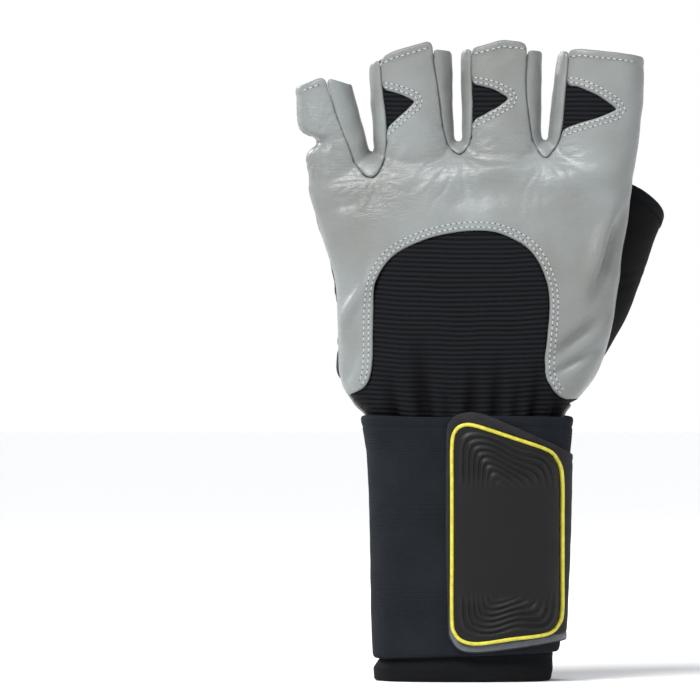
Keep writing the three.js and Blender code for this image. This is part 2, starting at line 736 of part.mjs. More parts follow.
// Cuff: an inner sleeve, the elastic wrap round it and the strap's tab on the back
const cuffStops = cuffSections.slice(1).map((section) => section.up * cuffHeight);
const belowStops = [-overhang, ...cuffStops];
const aboveStops = [...cuffStops, cuffHeight + overhang];
const grownLoft = (stops, grow) => cuffLoft(stops.map((height) => [height, grow]));
const ground = [onCuff([far, -1]), onCuff([-far, -1])];
const wrap = grownLoft(cuffStops, 0)
  .subtract(grownLoft([-overhang, ...aboveStops], -wrapWall))
  .subtract(prism([...wrapLowBack.map(onCuff), ...ground], -throughAll, 0))
  .subtract(prism([...wrapLowPalm.map(onCuff), ...ground], 0, throughAll));
addPiece("cuff_wrap", wrap, paint.elastic);

const underWrap = -wrapWall - seamGap;
const sleeveTop = cuffHeight - tuckDepth - seamGap;
const sleeveStops = [
  [0, -sleeveRound], [cuffStops[0], 0],
  ...cuffStops.slice(1, -2).map((height) => [height, underWrap]), [sleeveTop, underWrap],
];
const sleeveInside = grownLoft([...belowStops.slice(0, -2), sleeveTop + overhang], underWrap - sleeveWall);
addPiece("cuff_sleeve", cuffLoft(sleeveStops).subtract(sleeveInside), paint.elastic);

// A curved sheet that lies on the wrap, from one height above it to another
function overWrap(near, thick) {
  return grownLoft([...cuffStops, cuffHeight * headroom], near + thick)
    .subtract(grownLoft([-overhang, ...cuffStops, cuffHeight * headroom + overhang], near));
}
const tabLine = [...smooth(tabOutline.map(onCuff)), ...smooth(tabUnderside.map(onCuff))];
const tabSide = prism(tabLine, -throughAll, sideSeam);
addPiece("strap_tab", overWrap(seamGap, tabWall).intersect(tabSide), paint.rim);

const trimLine = trimOutline.map(onCuff);
const onTab = seamGap + tabWall + seamGap;
const badge = prism(grown(trimLine, -trimWidth / 2 - seamGap), -throughAll, 0);
addPiece("strap_badge", overWrap(onTab, badgeWall).intersect(badge), paint.rubber);
const trim = prism(grown(trimLine, trimWidth / 2), -throughAll, 0)
  .subtract(prism(grown(trimLine, -trimWidth / 2), -throughAll, 0));
addPiece("badge_trim", overWrap(onTab, trimWall).intersect(trim), paint.yellow);

export default group;
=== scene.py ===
import math

import bmesh
import bpy
import numpy as np
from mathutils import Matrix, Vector, noise
from mathutils.bvhtree import BVHTree


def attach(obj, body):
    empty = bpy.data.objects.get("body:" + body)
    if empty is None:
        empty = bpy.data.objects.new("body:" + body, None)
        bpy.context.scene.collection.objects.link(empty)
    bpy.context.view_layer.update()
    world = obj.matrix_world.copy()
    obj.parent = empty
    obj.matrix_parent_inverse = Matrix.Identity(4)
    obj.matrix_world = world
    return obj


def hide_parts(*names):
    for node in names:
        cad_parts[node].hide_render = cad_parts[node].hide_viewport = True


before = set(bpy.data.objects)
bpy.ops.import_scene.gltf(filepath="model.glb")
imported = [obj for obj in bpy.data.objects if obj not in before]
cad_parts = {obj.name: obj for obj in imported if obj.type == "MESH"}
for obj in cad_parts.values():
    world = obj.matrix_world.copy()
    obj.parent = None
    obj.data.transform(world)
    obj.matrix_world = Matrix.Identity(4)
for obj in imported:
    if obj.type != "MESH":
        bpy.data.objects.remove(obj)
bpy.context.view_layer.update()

bpy.ops.object.select_all(action="DESELECT")

# Glove form: the outer surface that a hand inside gives the sewn panels, cuff to fingertips.
# The panels further down are cut from it along their seams, so that they meet as sewn ones do.
CUFF_HEIGHT = 0.094
CUFF_WIDTH = 0.072
CUFF_DEPTH = 0.050
HAND_WIDTH = 0.118
HAND_RISE = 0.136
HAND_DEPTH = 0.046
FINGER_DEPTH = 0.023
THUMB_WIDTH = 0.027
THUMB_DEPTH = 0.024
THUMB_REACH = 0.072
TUCK_DEPTH = 0.0115
WRAP_WALL = 0.0024
SEAM_GAP = 0.0003
FORM_GRAIN = 0.0008
FORM_SMOOTHING = 6
HAND_SIDES = 96
FINGER_SIDES = 56
CUFF_SQUARENESS = 2.5
FINGER_SQUARENESS = 2.3

# Cuff: up, left, right, deep. Hand: up, left, right, back, palm.
cuff_sections = [
    (0.000, -0.475, 0.445, 0.470), (0.050, -0.475, 0.450, 0.475), (0.083, -0.470, 0.470, 0.480),
    (0.480, -0.481, 0.495, 0.495), (0.880, -0.503, 0.508, 0.510), (1.000, -0.531, 0.525, 0.530),
]
hand_sections = [
    (0.045, -0.350, 0.335, 0.490, 0.520), (0.110, -0.385, 0.393, 0.480, 0.545),
    (0.205, -0.392, 0.436, 0.470, 0.550), (0.300, -0.394, 0.456, 0.450, 0.525),
    (0.405, -0.412, 0.472, 0.420, 0.465), (0.520, -0.455, 0.494, 0.375, 0.395),
    (0.610, -0.480, 0.506, 0.325, 0.330), (0.655, -0.450, 0.505, 0.275, 0.280),
    (0.690, -0.340, 0.480, 0.210, 0.210), (0.718, -0.200, 0.420, 0.130, 0.130),
    (0.735, -0.080, 0.330, 0.040, 0.040),
]
# Fingers: up and lean for all of them, then how deep each one is, its left and its right edge
finger_heights = (0.560, 0.690, 0.735, 0.772, 0.905, 1.045)
finger_lean = (0.02, 0.03, 0.04, 0.05, 0.12, 0.22)
fingers = {
    "pinky": (
        0.84, (-0.455, -0.490, -0.452, -0.512, -0.517, -0.525),
        (-0.285, -0.293, -0.303, -0.313, -0.352, -0.372),
    ),
    "ring": (
        0.98, (-0.262, -0.279, -0.283, -0.286, -0.295, -0.302),
        (-0.036, -0.028, -0.033, -0.038, -0.041, -0.044),
    ),
    "middle": (
        1.00, (-0.010, -0.016, -0.014, -0.013, -0.016, -0.019),
        (0.222, 0.235, 0.232, 0.229, 0.232, 0.237),
    ),
    "index": (
        0.98, (0.262, 0.248, 0.250, 0.252, 0.270, 0.296),
        (0.490, 0.520, 0.529, 0.534, 0.543, 0.541),
    ),
}
# Thumb: across, out, up and size
thumb_sections = [
    (0.250, 0.130, 0.155, 0.66), (0.318, 0.210, 0.350, 0.88), (0.384, 0.325, 0.560, 0.98),
    (0.440, 0.465, 0.780, 0.98), (0.486, 0.610, 0.980, 0.97), (0.520, 0.740, 1.140, 0.97),
    (0.552, 0.865, 1.300, 0.97),
]
THUMB_CROTCH = 3
thumb_end = Vector((0.503 * HAND_WIDTH, 0.668 * HAND_DEPTH, CUFF_HEIGHT + 1.130 * THUMB_REACH))
thumb_facing = Vector((0.46, 0.42, 0.78)).normalized()
# Broad folds: side, across, up, long, wide, turn, deep
broad_folds = [
    (-1, 0.400, 0.360, 0.16, 0.040, 62, 0.035), (-1, 0.370, 0.220, 0.13, 0.035, 48, 0.030),
    (-1, -0.360, 0.200, 0.14, 0.035, 78, 0.035), (-1, -0.420, 0.560, 0.10, 0.030, 10, 0.026),
    (-1, 0.080, 0.600, 0.20, 0.050, 4, 0.020), (1, 0.120, 0.330, 0.16, 0.045, 35, 0.039),
    (1, -0.125, 0.400, 0.14, 0.040, -35, 0.035), (1, 0.100, 0.540, 0.20, 0.045, 12, 0.035),
]


def smooth_rows(table, steps, closed=False):
    """A table's rows with smooth rows worked out between them."""
    rows = np.array(table, float)
    count = len(rows)
    result = []
    for span in range(count if closed else count - 1):
        if closed:
            near = rows[[(span + shift) % count for shift in (-1, 0, 1, 2)]]
        else:
            near = rows[[min(max(span + shift, 0), count - 1) for shift in (-1, 0, 1, 2)]]
        first, second, third, fourth = near
        for step in range(steps):
            share = step / steps
            square = first * 2 - second * 5 + third * 4 - fourth
            cube = second * 3 - first - third * 3 + fourth
            point = second * 2 + (third - first) * share + square * share**2 + cube * share**3
            result.append(point / 2)
    if not closed:
        result.append(rows[-1])
    return np.array(result)


def rounded_ring(left, right, back, palm, lean, height, sides, squareness):
    """A level ring between a rectangle and an ellipse."""
    angles = np.arange(sides) * 2 * math.pi / sides
    power = 2 / squareness
    across = np.sign(np.cos(angles)) * np.abs(np.cos(angles)) ** power
    deep = np.sign(np.sin(angles)) * np.abs(np.sin(angles)) ** power
    middle = (left + right) / 2
    half = (right - left) / 2
    reach = np.where(deep < 0, back, palm)
    return np.column_stack((middle + half * across, lean + reach * deep, np.full(sides, height)))


def cuff_row(height, grow):
    """Left, right and depth of the cuff at a height, grown outward by an amount."""
    table = np.array(cuff_sections)
    up = height / CUFF_HEIGHT
    left, right, deep = (np.interp(up, table[:, 0], table[:, column]) for column in (1, 2, 3))
    return left * CUFF_WIDTH - grow, right * CUFF_WIDTH + grow, deep * CUFF_DEPTH + grow


def loft_mesh(rings):
    """Points and faces of a closed skin through rings that run counterclockwise from above."""
    around = len(rings[0])
    points = [tuple(point) for ring in rings for point in ring]
    faces = []
    for row in range(len(rings) - 1):
        low = row * around
        for side in range(around):
            following = (side + 1) % around
            faces.append((low + side, low + following, low + around + following, low + around + side))
    faces.append(tuple(reversed(range(around))))
    faces.append(tuple(range(len(points) - around, len(points))))
    return points, faces


def hand_rings():
    """Level rings from inside the cuff to the roots of the fingers."""
    rows = []
    for height in (CUFF_HEIGHT - TUCK_DEPTH, CUFF_HEIGHT):
        left, right, deep = cuff_row(height, -WRAP_WALL - SEAM_GAP)
        rows.append((height, left, right, deep, deep))
    for up, left, right, back, palm in hand_sections:
        rows.append((
            CUFF_HEIGHT + up * HAND_RISE, left * HAND_WIDTH, right * HAND_WIDTH,
            back * HAND_DEPTH, palm * HAND_DEPTH,
        ))
    rings = []
    for height, left, right, back, palm in smooth_rows(rows, 5):
        rings.append(rounded_ring(left, right, back, palm, 0, height, HAND_SIDES, CUFF_SQUARENESS))
    return rings


def finger_rings(deep, left, right):
    """Level rings from inside the hand past the fingertip."""
    rows = []
    for up, lean, low, high in zip(finger_heights, finger_lean, left, right):
        height = CUFF_HEIGHT + up * HAND_RISE
        rows.append((height, low * HAND_WIDTH, high * HAND_WIDTH, lean * FINGER_DEPTH))
    half = deep * FINGER_DEPTH / 2
    return [
        rounded_ring(low, high, half, half, lean, height, FINGER_SIDES, FINGER_SQUARENESS)
        for height, low, high, lean in smooth_rows(rows, 6)
    ]


def thumb_frame():
    """Middles, sizes and section directions along the thumb."""
    rows = smooth_rows(thumb_sections, 6)
    middles = rows[:, :3] * (HAND_WIDTH, HAND_DEPTH, THUMB_REACH) + (0, 0, CUFF_HEIGHT)
    axis = np.gradient(middles, axis=0)
    axis /= np.linalg.norm(axis, axis=1)[:, None]
    wide = np.array([1.0, 0, 0]) - axis * axis[:, :1]
    wide /= np.linalg.norm(wide, axis=1)[:, None]
    return middles, rows[:, 3], axis, wide, np.cross(axis, wide)


def thumb_rings():
    """Rings square to the thumb's curved middle line."""
    middles, sizes, _, wide, thick = thumb_frame()
    angles = np.arange(FINGER_SIDES) * 2 * math.pi / FINGER_SIDES
    rings = []
    for middle, size, across, deep in zip(middles, sizes, wide, thick):
        rings.append(
            middle + np.outer(np.cos(angles), across) * THUMB_WIDTH / 2 * size
            + np.outer(np.sin(angles), deep) * THUMB_DEPTH / 2 * size
        )
    return rings


def thumb_distance(points):
    """How far each point is outside the thumb's surface."""
    middles, sizes, axis, wide, thick = thumb_frame()
    best = np.full(len(points), 1.0)
    for middle, size, along, across, deep in zip(middles, sizes, axis, wide, thick):
        offset = points - middle
        level = np.abs(offset @ along)
        out = np.hypot(offset @ across / (THUMB_WIDTH / 2), offset @ deep / (THUMB_DEPTH / 2))
        gap = (out - size) * THUMB_WIDTH / 2
        gap = np.sqrt(np.maximum(gap, 0) ** 2 + np.maximum(level - 0.0015, 0) ** 2) + np.minimum(gap, 0)
        best = np.where(level < 0.004, np.minimum(best, gap), best)
    return best


def fold_depth(points, folds):
    """How far the folds pull in the surface at each point."""
    pull = np.zeros(len(points))
    for side, across, up, long, wide, turn, deep in folds:
        east = points[:, 0] - across * HAND_WIDTH
        north = points[:, 2] - CUFF_HEIGHT - up * HAND_RISE
        cosine = math.cos(math.radians(turn))
        sine = math.sin(math.radians(turn))
        along = (east * cosine + north * sine) / (long * HAND_WIDTH)
        over = (north * cosine - east * sine) / (wide * HAND_WIDTH)
        facing = points[:, 1] * side > 0
        pull += facing * deep * HAND_DEPTH * np.exp(-along**2 - over**2)
    return pull


def new_object(name, points, faces, smooth=False):
    mesh = bpy.data.meshes.new(name)
    mesh.from_pydata([tuple(point) for point in points], [], [tuple(face) for face in faces])
    mesh.polygons.foreach_set("use_smooth", [smooth] * len(mesh.polygons))
    mesh.update()
    piece = bpy.data.objects.new(name, mesh)
    bpy.context.scene.collection.objects.link(piece)
    return piece


def only(piece):
    """Selects one piece and makes it active."""
    bpy.ops.object.select_all(action="DESELECT")
    piece.select_set(True)
    bpy.context.view_layer.objects.active = piece


def apply_modifier(piece, kind, **settings):
    """Adds a modifier with its settings and applies it at once."""
    modifier = piece.modifiers.new(kind.title(), kind)
    for key, value in settings.items():
        setattr(modifier, key, value)
    only(piece)
    bpy.ops.object.modifier_apply(modifier=modifier.name)


def mesh_points(mesh):
    flat = np.empty(len(mesh.vertices) * 3)
    mesh.vertices.foreach_get("co", flat)
    return flat.reshape(-1, 3)


def mesh_normals(mesh):
    flat = np.empty(len(mesh.vertices) * 3, np.float32)
    mesh.vertex_normals.foreach_get("vector", flat)
    return flat.reshape(-1, 3).astype(float)


form_points = []
form_faces = []
tubes = [hand_rings(), thumb_rings()] + [finger_rings(*rows) for rows in fingers.values()]
for rings in tubes:
    tube_points, tube_faces = loft_mesh(rings)
    form_faces += [tuple(corner + len(form_points) for corner in face) for face in tube_faces]
    form_points += tube_points
form = new_object("form", form_points, form_faces)
form.data.remesh_voxel_size = FORM_GRAIN
form.data.use_remesh_preserve_volume = True
only(form)
bpy.ops.object.voxel_remesh()
apply_modifier(form, "SMOOTH", factor=0.5, iterations=FORM_SMOOTHING)
form_points = mesh_points(form.data)
form_normals = mesh_normals(form.data)
pulled = fold_depth(form_points, broad_folds) * np.abs(form_normals[:, 1])
form_points = form_points - form_normals * pulled[:, None]
form.data.vertices.foreach_set("co", form_points.ravel())
form.data.update()
form_normals = mesh_normals(form.data)
form_faces = [tuple(face.vertices) for face in form.data.polygons]
form_tree = BVHTree.FromPolygons([tuple(point) for point in form_points], form_faces)

# Leather back of the hand: one piece of silver-grey glove leather from the wrist lobes to the
# folded finger hems, with an arch cut out of it and a V-shaped vent over each big knuckle.
# It is topstitched twice along the arch and the vents, and once along each finger's hem.
SIDE_SEAM = 0.002
LEATHER_WALL = 0.0015
THUMB_HEM = 0.0045
FAR = 0.8
BELOW = -0.15
ABOVE = 1.5
LOBE_SPLIT = 0.300
HEM_TURN = 0.0034
HEM_PROUD = 0.00035
PUCKER_PITCH = 0.0016
PUCKER_REACH = 0.0035
PUCKER_DEPTH = 0.00022
CREASE_DEPTH = 0.00042
CREASE_START = 0.006
CREASE_FADE = 0.011

arch_edge = [
    (0.300, 0.049), (0.262, 0.078), (0.240, 0.140), (0.253, 0.300), (0.236, 0.380), (0.190, 0.448),
    (0.110, 0.487), (0.043, 0.497), (-0.043, 0.492), (-0.140, 0.470), (-0.225, 0.430), (-0.272, 0.370),
    (-0.287, 0.280), (-0.290, 0.140), (-0.312, 0.085), (-0.380, 0.055),
]
lobe_line = [(0.430, 0.074), (0.348, 0.050)]
hem_back = [
    (-0.700, 0.868), (-0.516, 0.881), (-0.439, 0.905), (-0.352, 0.887), (-0.325, 0.925), (-0.300, 0.938),
    (-0.226, 0.971), (-0.110, 1.001), (-0.098, 0.979), (-0.030, 0.974), (0.042, 0.987), (0.110, 1.003),
    (0.178, 0.997), (0.190, 0.977), (0.260, 0.972), (0.348, 0.979), (0.470, 0.968), (0.700, 0.940),
]
hem_palm = [
    (-0.700, 0.850), (-0.500, 0.862), (-0.352, 0.866), (-0.320, 0.915), (-0.200, 0.925), (-0.040, 0.930),
    (0.000, 0.935), (0.230, 0.935), (0.260, 0.940), (0.320, 0.950), (0.550, 0.920), (0.700, 0.910),
]
fourchette_lines = {
    "pinky_ring": [
        (-0.430, 0.900), (-0.403, 0.823), (-0.369, 0.744), (-0.333, 0.668), (-0.290, 0.636),
        (-0.259, 0.667), (-0.246, 0.717), (-0.248, 0.790), (-0.258, 0.860), (-0.264, 0.930),
    ],
    "ring_middle": [
        (-0.101, 0.960), (-0.085, 0.871), (-0.071, 0.788), (-0.055, 0.730), (-0.022, 0.700),
        (0.006, 0.728), (0.014, 0.780), (0.013, 0.871), (0.012, 0.960),
    ],
    "middle_index": [
        (0.186, 0.960), (0.184, 0.890), (0.189, 0.818), (0.203, 0.744), (0.238, 0.690),
        (0.271, 0.720), (0.287, 0.765), (0.298, 0.860), (0.308, 0.950),
    ],
}
vent_lines = {
    "ring": [(-0.285, 0.871), (-0.245, 0.868), (-0.200, 0.858), (-0.156, 0.839),
             (-0.190, 0.812), (-0.225, 0.785), (-0.268, 0.756)],
    "middle": [(-0.012, 0.884), (0.030, 0.882), (0.080, 0.872), (0.131, 0.847),
               (0.090, 0.822), (0.045, 0.802), (-0.012, 0.778)],
    "index": [(0.280, 0.881), (0.335, 0.880), (0.400, 0.856), (0.461, 0.818),
              (0.400, 0.796), (0.335, 0.780), (0.262, 0.758)],
}
# Where the back's creases start: the foot of each finger gap, and the pinky's fold
crease_starts = [
    (-0.290, 0.636, 1.0), (-0.022, 0.700, 0.9), (0.238, 0.690, 0.6), (-0.450, 0.733, 0.9),
]
# Where the hem of each finger is stitched, from and to
hem_spans = [(-0.500, -0.448), (-0.268, -0.118), (0.004, 0.170), (0.300, 0.515)]
# More soft folds that only the leather shows
leather_folds = [
    (-1, 0.455, 0.470, 0.12, 0.022, 66, 0.035), (-1, 0.395, 0.420, 0.12, 0.026, 74, -0.030),
    (-1, 0.335, 0.215, 0.10, 0.018, 40, 0.022), (-1, 0.330, 0.150, 0.09, 0.015, 28, 0.020),
    (-1, -0.345, 0.300, 0.09, 0.022, 60, -0.028), (-1, -0.370, 0.110, 0.07, 0.016, 66, 0.020),
    (-1, 0.350, 0.640, 0.14, 0.040, 8, -0.020), (-1, 0.100, 0.655, 0.10, 0.030, 6, -0.022),
]


def on_hand(points):
    """Shares of the hand's width and rise, as X and Z in metres."""
    return np.array(points, float) * (HAND_WIDTH, HAND_RISE) + (0, CUFF_HEIGHT)


def smooth_line(points, steps=4):
    """A smooth line on the hand through points given in shares."""
    return on_hand(smooth_rows(points, steps))


def line_distance(line, points, closed=False):
    """Distance in X and Z from each point to a line, and how far along the line that is."""
    flat = points[:, [0, 2]]
    starts = line if closed else line[:-1]
    ends = np.roll(line, -1, axis=0) if closed else line[1:]
    best = np.full(len(flat), 1.0)
    along = np.zeros(len(flat))
    run = 0.0
    for start, end in zip(starts, ends):
        side = end - start
        length = max(np.linalg.norm(side), 1e-9)
        share = np.clip((flat - start) @ side / length**2, 0, 1)
        gap = np.linalg.norm(flat - start - share[:, None] * side, axis=1)
        nearer = gap < best
        best = np.where(nearer, gap, best)
        along = np.where(nearer, run + share * length, along)
        run += length
    return best, along


def zone_distance(zone, points):
    """Distance in X and Z to a closed outline: less than nought inside it."""
    gap, _ = line_distance(zone, points, closed=True)
    across = points[:, 0]
    up = points[:, 2]
    inside = np.zeros(len(points), bool)
    for start, end in zip(zone, np.roll(zone, -1, axis=0)):
        if start[1] == end[1]:
            continue
        spans = (start[1] > up) != (end[1] > up)
        meets = start[0] + (up - start[1]) / (end[1] - start[1]) * (end[0] - start[0])
        inside ^= spans & (across < meets)
    return np.where(inside, -gap, gap)


def outside_of(zones, points):
    """More than nought inside any of the zones, and less outside them all."""
    return np.maximum.reduce([-zone_distance(zone, points) for zone in zones])


def cut_sheet(sheet_points, sheet_faces, values):
    """Points and faces of the part of a sheet where the values are less than nought."""
    values = np.where(np.abs(values) < 1e-7, -1e-7, values)
    inside = values < 0
    points = []
    places = {}

    def corner(first, second):
        key = (min(first, second), max(first, second))
        if key not in places:
            places[key] = len(points)
            if first == second:
                points.append(sheet_points[first])
            else:
                share = values[key[0]] / (values[key[0]] - values[key[1]])
                points.append(sheet_points[key[0]] * (1 - share) + sheet_points[key[1]] * share)
        return places[key]

    faces = []
    for face in sheet_faces:
        kept = [inside[vertex] for vertex in face]
        if not any(kept):
            continue
        ring = []
        for place, vertex in enumerate(face):
            other = face[(place + 1) % len(face)]
            if kept[place]:
                ring.append(corner(vertex, vertex))
            if inside[vertex] != inside[other]:
                ring.append(corner(vertex, other))
        if len(ring) > 2:
            faces.append(ring)
    return np.array(points), faces


def tidy_sheet(points, faces, merge=0.0002, rounds=5):
    """Merges slivers, drops crumbs and evens out the border of an open sheet."""
    sheet = bmesh.new()
    for point in points:
        sheet.verts.new(point)
    sheet.verts.ensure_lookup_table()
    for face in faces:
        sheet.faces.new([sheet.verts[corner] for corner in face])
    bmesh.ops.remove_doubles(sheet, verts=sheet.verts, dist=merge)
    bmesh.ops.delete(sheet, geom=[vert for vert in sheet.verts if not vert.link_faces], context="VERTS")
    remaining = set(sheet.verts)
    islands = []
    while remaining:
        island = {remaining.pop()}
        front = list(island)
        while front:
            reached = {edge.other_vert(vert) for vert in front for edge in vert.link_edges} - island
            island |= reached
            front = list(reached)
        remaining -= island
        islands.append(island)
    largest = max(len(island) for island in islands)
    crumbs = [vert for island in islands if len(island) < largest * 0.1 for vert in island]
    bmesh.ops.delete(sheet, geom=crumbs, context="VERTS")
    for _ in range(rounds):
        moves = []
        for vert in sheet.verts:
            rim = [edge.other_vert(vert).co for edge in vert.link_edges if edge.is_boundary]
            if len(rim) == 2:
                moves.append((vert, vert.co / 2 + (rim[0] + rim[1]) / 4))
            elif not rim and any(edge.other_vert(vert).is_boundary for edge in vert.link_edges):
                around = [edge.other_vert(vert).co for edge in vert.link_edges]
                moves.append((vert, vert.co / 2 + sum(around, Vector()) / len(around) / 2))
        for vert, place in moves:
            vert.co = place
    sheet.verts.index_update()
    points = np.array([tuple(vert.co) for vert in sheet.verts])
    faces = [[vert.index for vert in face.verts] for face in sheet.faces]
    sheet.free()
    return points, faces


def sheet_normals(points, faces):
    """The outward direction at each point of an open sheet."""
    mesh = bpy.data.meshes.new("measure")
    mesh.from_pydata([tuple(point) for point in points], [], faces)
    normals = mesh_normals(mesh)
    bpy.data.meshes.remove(mesh)
    return normals


def panel(values, edge):
    """A panel of the form where the values are less than minus the edge."""
    points, faces = cut_sheet(form_points, form_faces, values + edge)
    points, faces = tidy_sheet(points, faces)
    return points, sheet_normals(points, faces), faces


def border_edges(faces):
    """The edges of an open sheet that only one face has, in that face's direction."""
    borders = set()
    for face in faces:
        for place, vertex in enumerate(face):
            following = face[(place + 1) % len(face)]
            if (following, vertex) in borders:
                borders.discard((following, vertex))
            else:
                borders.add((vertex, following))
    return sorted(borders)


def thick_sheet(name, points, faces, wall, rolls=4, **marks):
    """A closed piece from an open sheet: its outer face, an inner one and a half-round edge.

    A mark is a number for each point that the material reads, on both faces of the piece.
    """
    normals = sheet_normals(points, faces)
    count = len(points)
    radius = wall / 2
    borders = border_edges(faces)
    outward = {}
    for start, end in borders:
        side = points[end] - points[start]
        for vertex in (start, end):
            outward[vertex] = outward.get(vertex, 0) + np.cross(side, normals[vertex])
    beside_each = {}
    for start, end in borders:
        beside_each.setdefault(start, []).append(end)
        beside_each.setdefault(end, []).append(start)
    for _ in range(4):
        pushes = {vertex: push / max(np.linalg.norm(push), 1e-12) for vertex, push in outward.items()}
        outward = {
            vertex: push + sum(pushes[other] for other in beside_each[vertex]) / 2
            for vertex, push in pushes.items()
        }
    everything = [points, points - normals * wall]
    rings = {}
    total = 2 * count
    for vertex, push in outward.items():
        push = push / max(np.linalg.norm(push), 1e-12)
        middle = points[vertex] - normals[vertex] * radius
        rows = [vertex]
        for roll in range(1, rolls):
            angle = math.pi * roll / rolls
            out = push * radius * math.sin(angle) + normals[vertex] * radius * math.cos(angle)
            everything.append((middle + out)[None, :])
            rows.append(total)
            total += 1
        rows.append(vertex + count)
        rings[vertex] = rows
    shell = [list(face) for face in faces]
    shell += [[vertex + count for vertex in reversed(face)] for face in faces]
    for start, end in borders:
        for roll in range(rolls):
            shell.append([
                rings[end][roll], rings[start][roll], rings[start][roll + 1], rings[end][roll + 1],
            ])
    piece = new_object(name, np.concatenate(everything), shell, smooth=True)
    for mark, values in marks.items():
        on_both = np.zeros(len(piece.data.vertices))
        on_both[:count] = values
        on_both[count:2 * count] = values
        piece.data.attributes.new(mark, "FLOAT", "POINT").data.foreach_set("value", on_both)
    return piece


def noise_at(places, scale, seed):
    """Smooth noise from -1 to 1 at each place, with bumps about as wide as the scale."""
    shift = Vector((seed, seed * 0.7, -seed))
    return np.array([noise.noise(Vector(place) / scale + shift) for place in places])


def raised(points, normals, amounts):
    """Points moved out along their normals."""
    return points + normals * amounts[:, None]


def rumpled(points, normals, wide, deep, seed):
    """Points moved in and out by soft bumps."""
    return raised(points, normals, noise_at(points, wide, seed) * deep)


def folded(points, normals, folds, share=1.0):
    """Points drawn in by folds, which fade where the sheet turns toward the side."""
    return raised(points, normals, -fold_depth(points, folds) * np.abs(normals[:, 1]) * share)


def put_together(name, parts):
    """One object from a list of meshes given as points and faces."""
    points = []
    faces = []
    for part_points, part_faces in parts:
        faces += [[corner + len(points) for corner in face] for face in part_faces]
        points += [tuple(point) for point in part_points]
    return new_object(name, points, faces, smooth=True)


def run_of(line):
    """How far along a line each of its points is."""
    return np.concatenate(([0], np.cumsum(np.linalg.norm(np.diff(line, axis=0), axis=1))))


def places_at(line, stops):
    """The places on a line at some distances along it."""
    run = run_of(line)
    return np.column_stack([np.interp(stops, run, column) for column in line.T])


def resample(line, pitch):
    """Evenly spaced points on a line, and the direction of the line at each."""
    stops = np.arange(pitch / 2, run_of(line)[-1], pitch)
    ahead = places_at(line, stops + pitch / 4) - places_at(line, stops - pitch / 4)
    return places_at(line, stops), ahead / np.maximum(np.linalg.norm(ahead, axis=1), 1e-12)[:, None]


def beside(line, distance):
    """A line in X and Z moved to its left by a distance."""
    ahead = np.gradient(line, axis=0)
    ahead /= np.maximum(np.linalg.norm(ahead, axis=1), 1e-12)[:, None]
    return line + np.column_stack((-ahead[:, 1], ahead[:, 0])) * distance


def tree_of(piece):
    return BVHTree.FromPolygons(
        [tuple(vert.co) for vert in piece.data.vertices],
        [tuple(face.vertices) for face in piece.data.polygons],
    )


def small_bead(long, wide, high):
    """A bead of 24 faces, for a stitch or for the painted shade of a needle hole."""
    bead = bmesh.new()
    bmesh.ops.create_uvsphere(bead, u_segments=6, v_segments=4, radius=1)
    bead.verts.index_update()
    points = np.array([tuple(vert.co) for vert in bead.verts]) * (wide / 2, high / 2, long / 2)
    faces = [[vert.index for vert in face.verts] for face in bead.faces]
    bead.free()
    return points[:, [2, 0, 1]], faces


THREAD_LONG = 0.0014
THREAD_WIDE = 0.00062
THREAD_HIGH = 0.00050
HOLE_SIZE = 0.00062
HOLE_HIGH = 0.00026
STITCH_PITCH = 0.0020
VENT_STITCH_PITCH = 0.0019
HEM_STITCH_PITCH = 0.0021
ARCH_ROWS = (-0.0012, -0.0029)
VENT_ROWS = (0.0010, 0.0026)
HEM_ROW = 0.0026
thread_bead = small_bead(THREAD_LONG, THREAD_WIDE, THREAD_HIGH)
hole_bead = small_bead(HOLE_SIZE, HOLE_SIZE, HOLE_HIGH)


def stitch_row(line, pitch, tree, palm=False):
    """Stitches, and beads of painted shade at the needle holes, along a line in X and Z, laid on a piece
    from the back or palm.
    """
    threads = []
    holes = []
    start_y = 0.2 if palm else -0.2
    for shift, bead, kept, sink in ((0.0, thread_bead, threads, 0.0), (0.5, hole_bead, holes, 0.00006)):
        run = np.concatenate((line[:1] + (line[1:2] - line[:1]) * shift * 0.01, line[1:]))
        places, ahead = resample(run, pitch)
        places = places + ahead * pitch * shift
        for place, way in zip(places, ahead):
            start = Vector((place[0], start_y, place[1]))
            hit, normal, _, _ = tree.ray_cast(start, Vector((0, -math.copysign(1, start_y), 0)))
            if hit is None or abs(normal.y) < (0.6 if palm else 0.5):
                continue
            along = Vector((way[0], 0, way[1]))
            along = (along - normal * along.dot(normal)).normalized()
            across = normal.cross(along)
            frame_rows = np.array([along, across, normal])
            kept.append((bead[0] @ frame_rows + np.array(hit - normal * sink), bead[1]))
    return threads, holes


def wire(tree, kind, sockets=None, **settings):
    """A new node with its settings, and its sockets set to a value or wired to an output."""
    made = tree.nodes.new(kind)
    for key, value in settings.items():
        setattr(made, key, value)
    for socket, value in (sockets or {}).items():
        if isinstance(value, bpy.types.NodeSocket):
            tree.links.new(value, made.inputs[socket])
        else:
            made.inputs[socket].default_value = value
    return made


def maths(tree, operation, first, second=0.0, clamp=False):
    made = wire(tree, "ShaderNodeMath", {0: first, 1: second}, operation=operation, use_clamp=clamp)
    return made.outputs[0]


def plus(tree, first, second, clamp=False):
    return maths(tree, "ADD", first, second, clamp)


def times(tree, first, second):
    return maths(tree, "MULTIPLY", first, second)


def new_group(name, inputs, outputs):
    """An empty group of shader nodes with named number inputs and outputs."""
    tree = bpy.data.node_groups.new(name, "ShaderNodeTree")
    for socket, value in inputs.items():
        made = tree.interface.new_socket(socket, in_out="INPUT", socket_type="NodeSocketFloat")
        made.default_value = value
    for socket in outputs:
        tree.interface.new_socket(socket, in_out="OUTPUT", socket_type="NodeSocketFloat")
    return tree, tree.nodes.new("NodeGroupInput").outputs, tree.nodes.new("NodeGroupOutput")


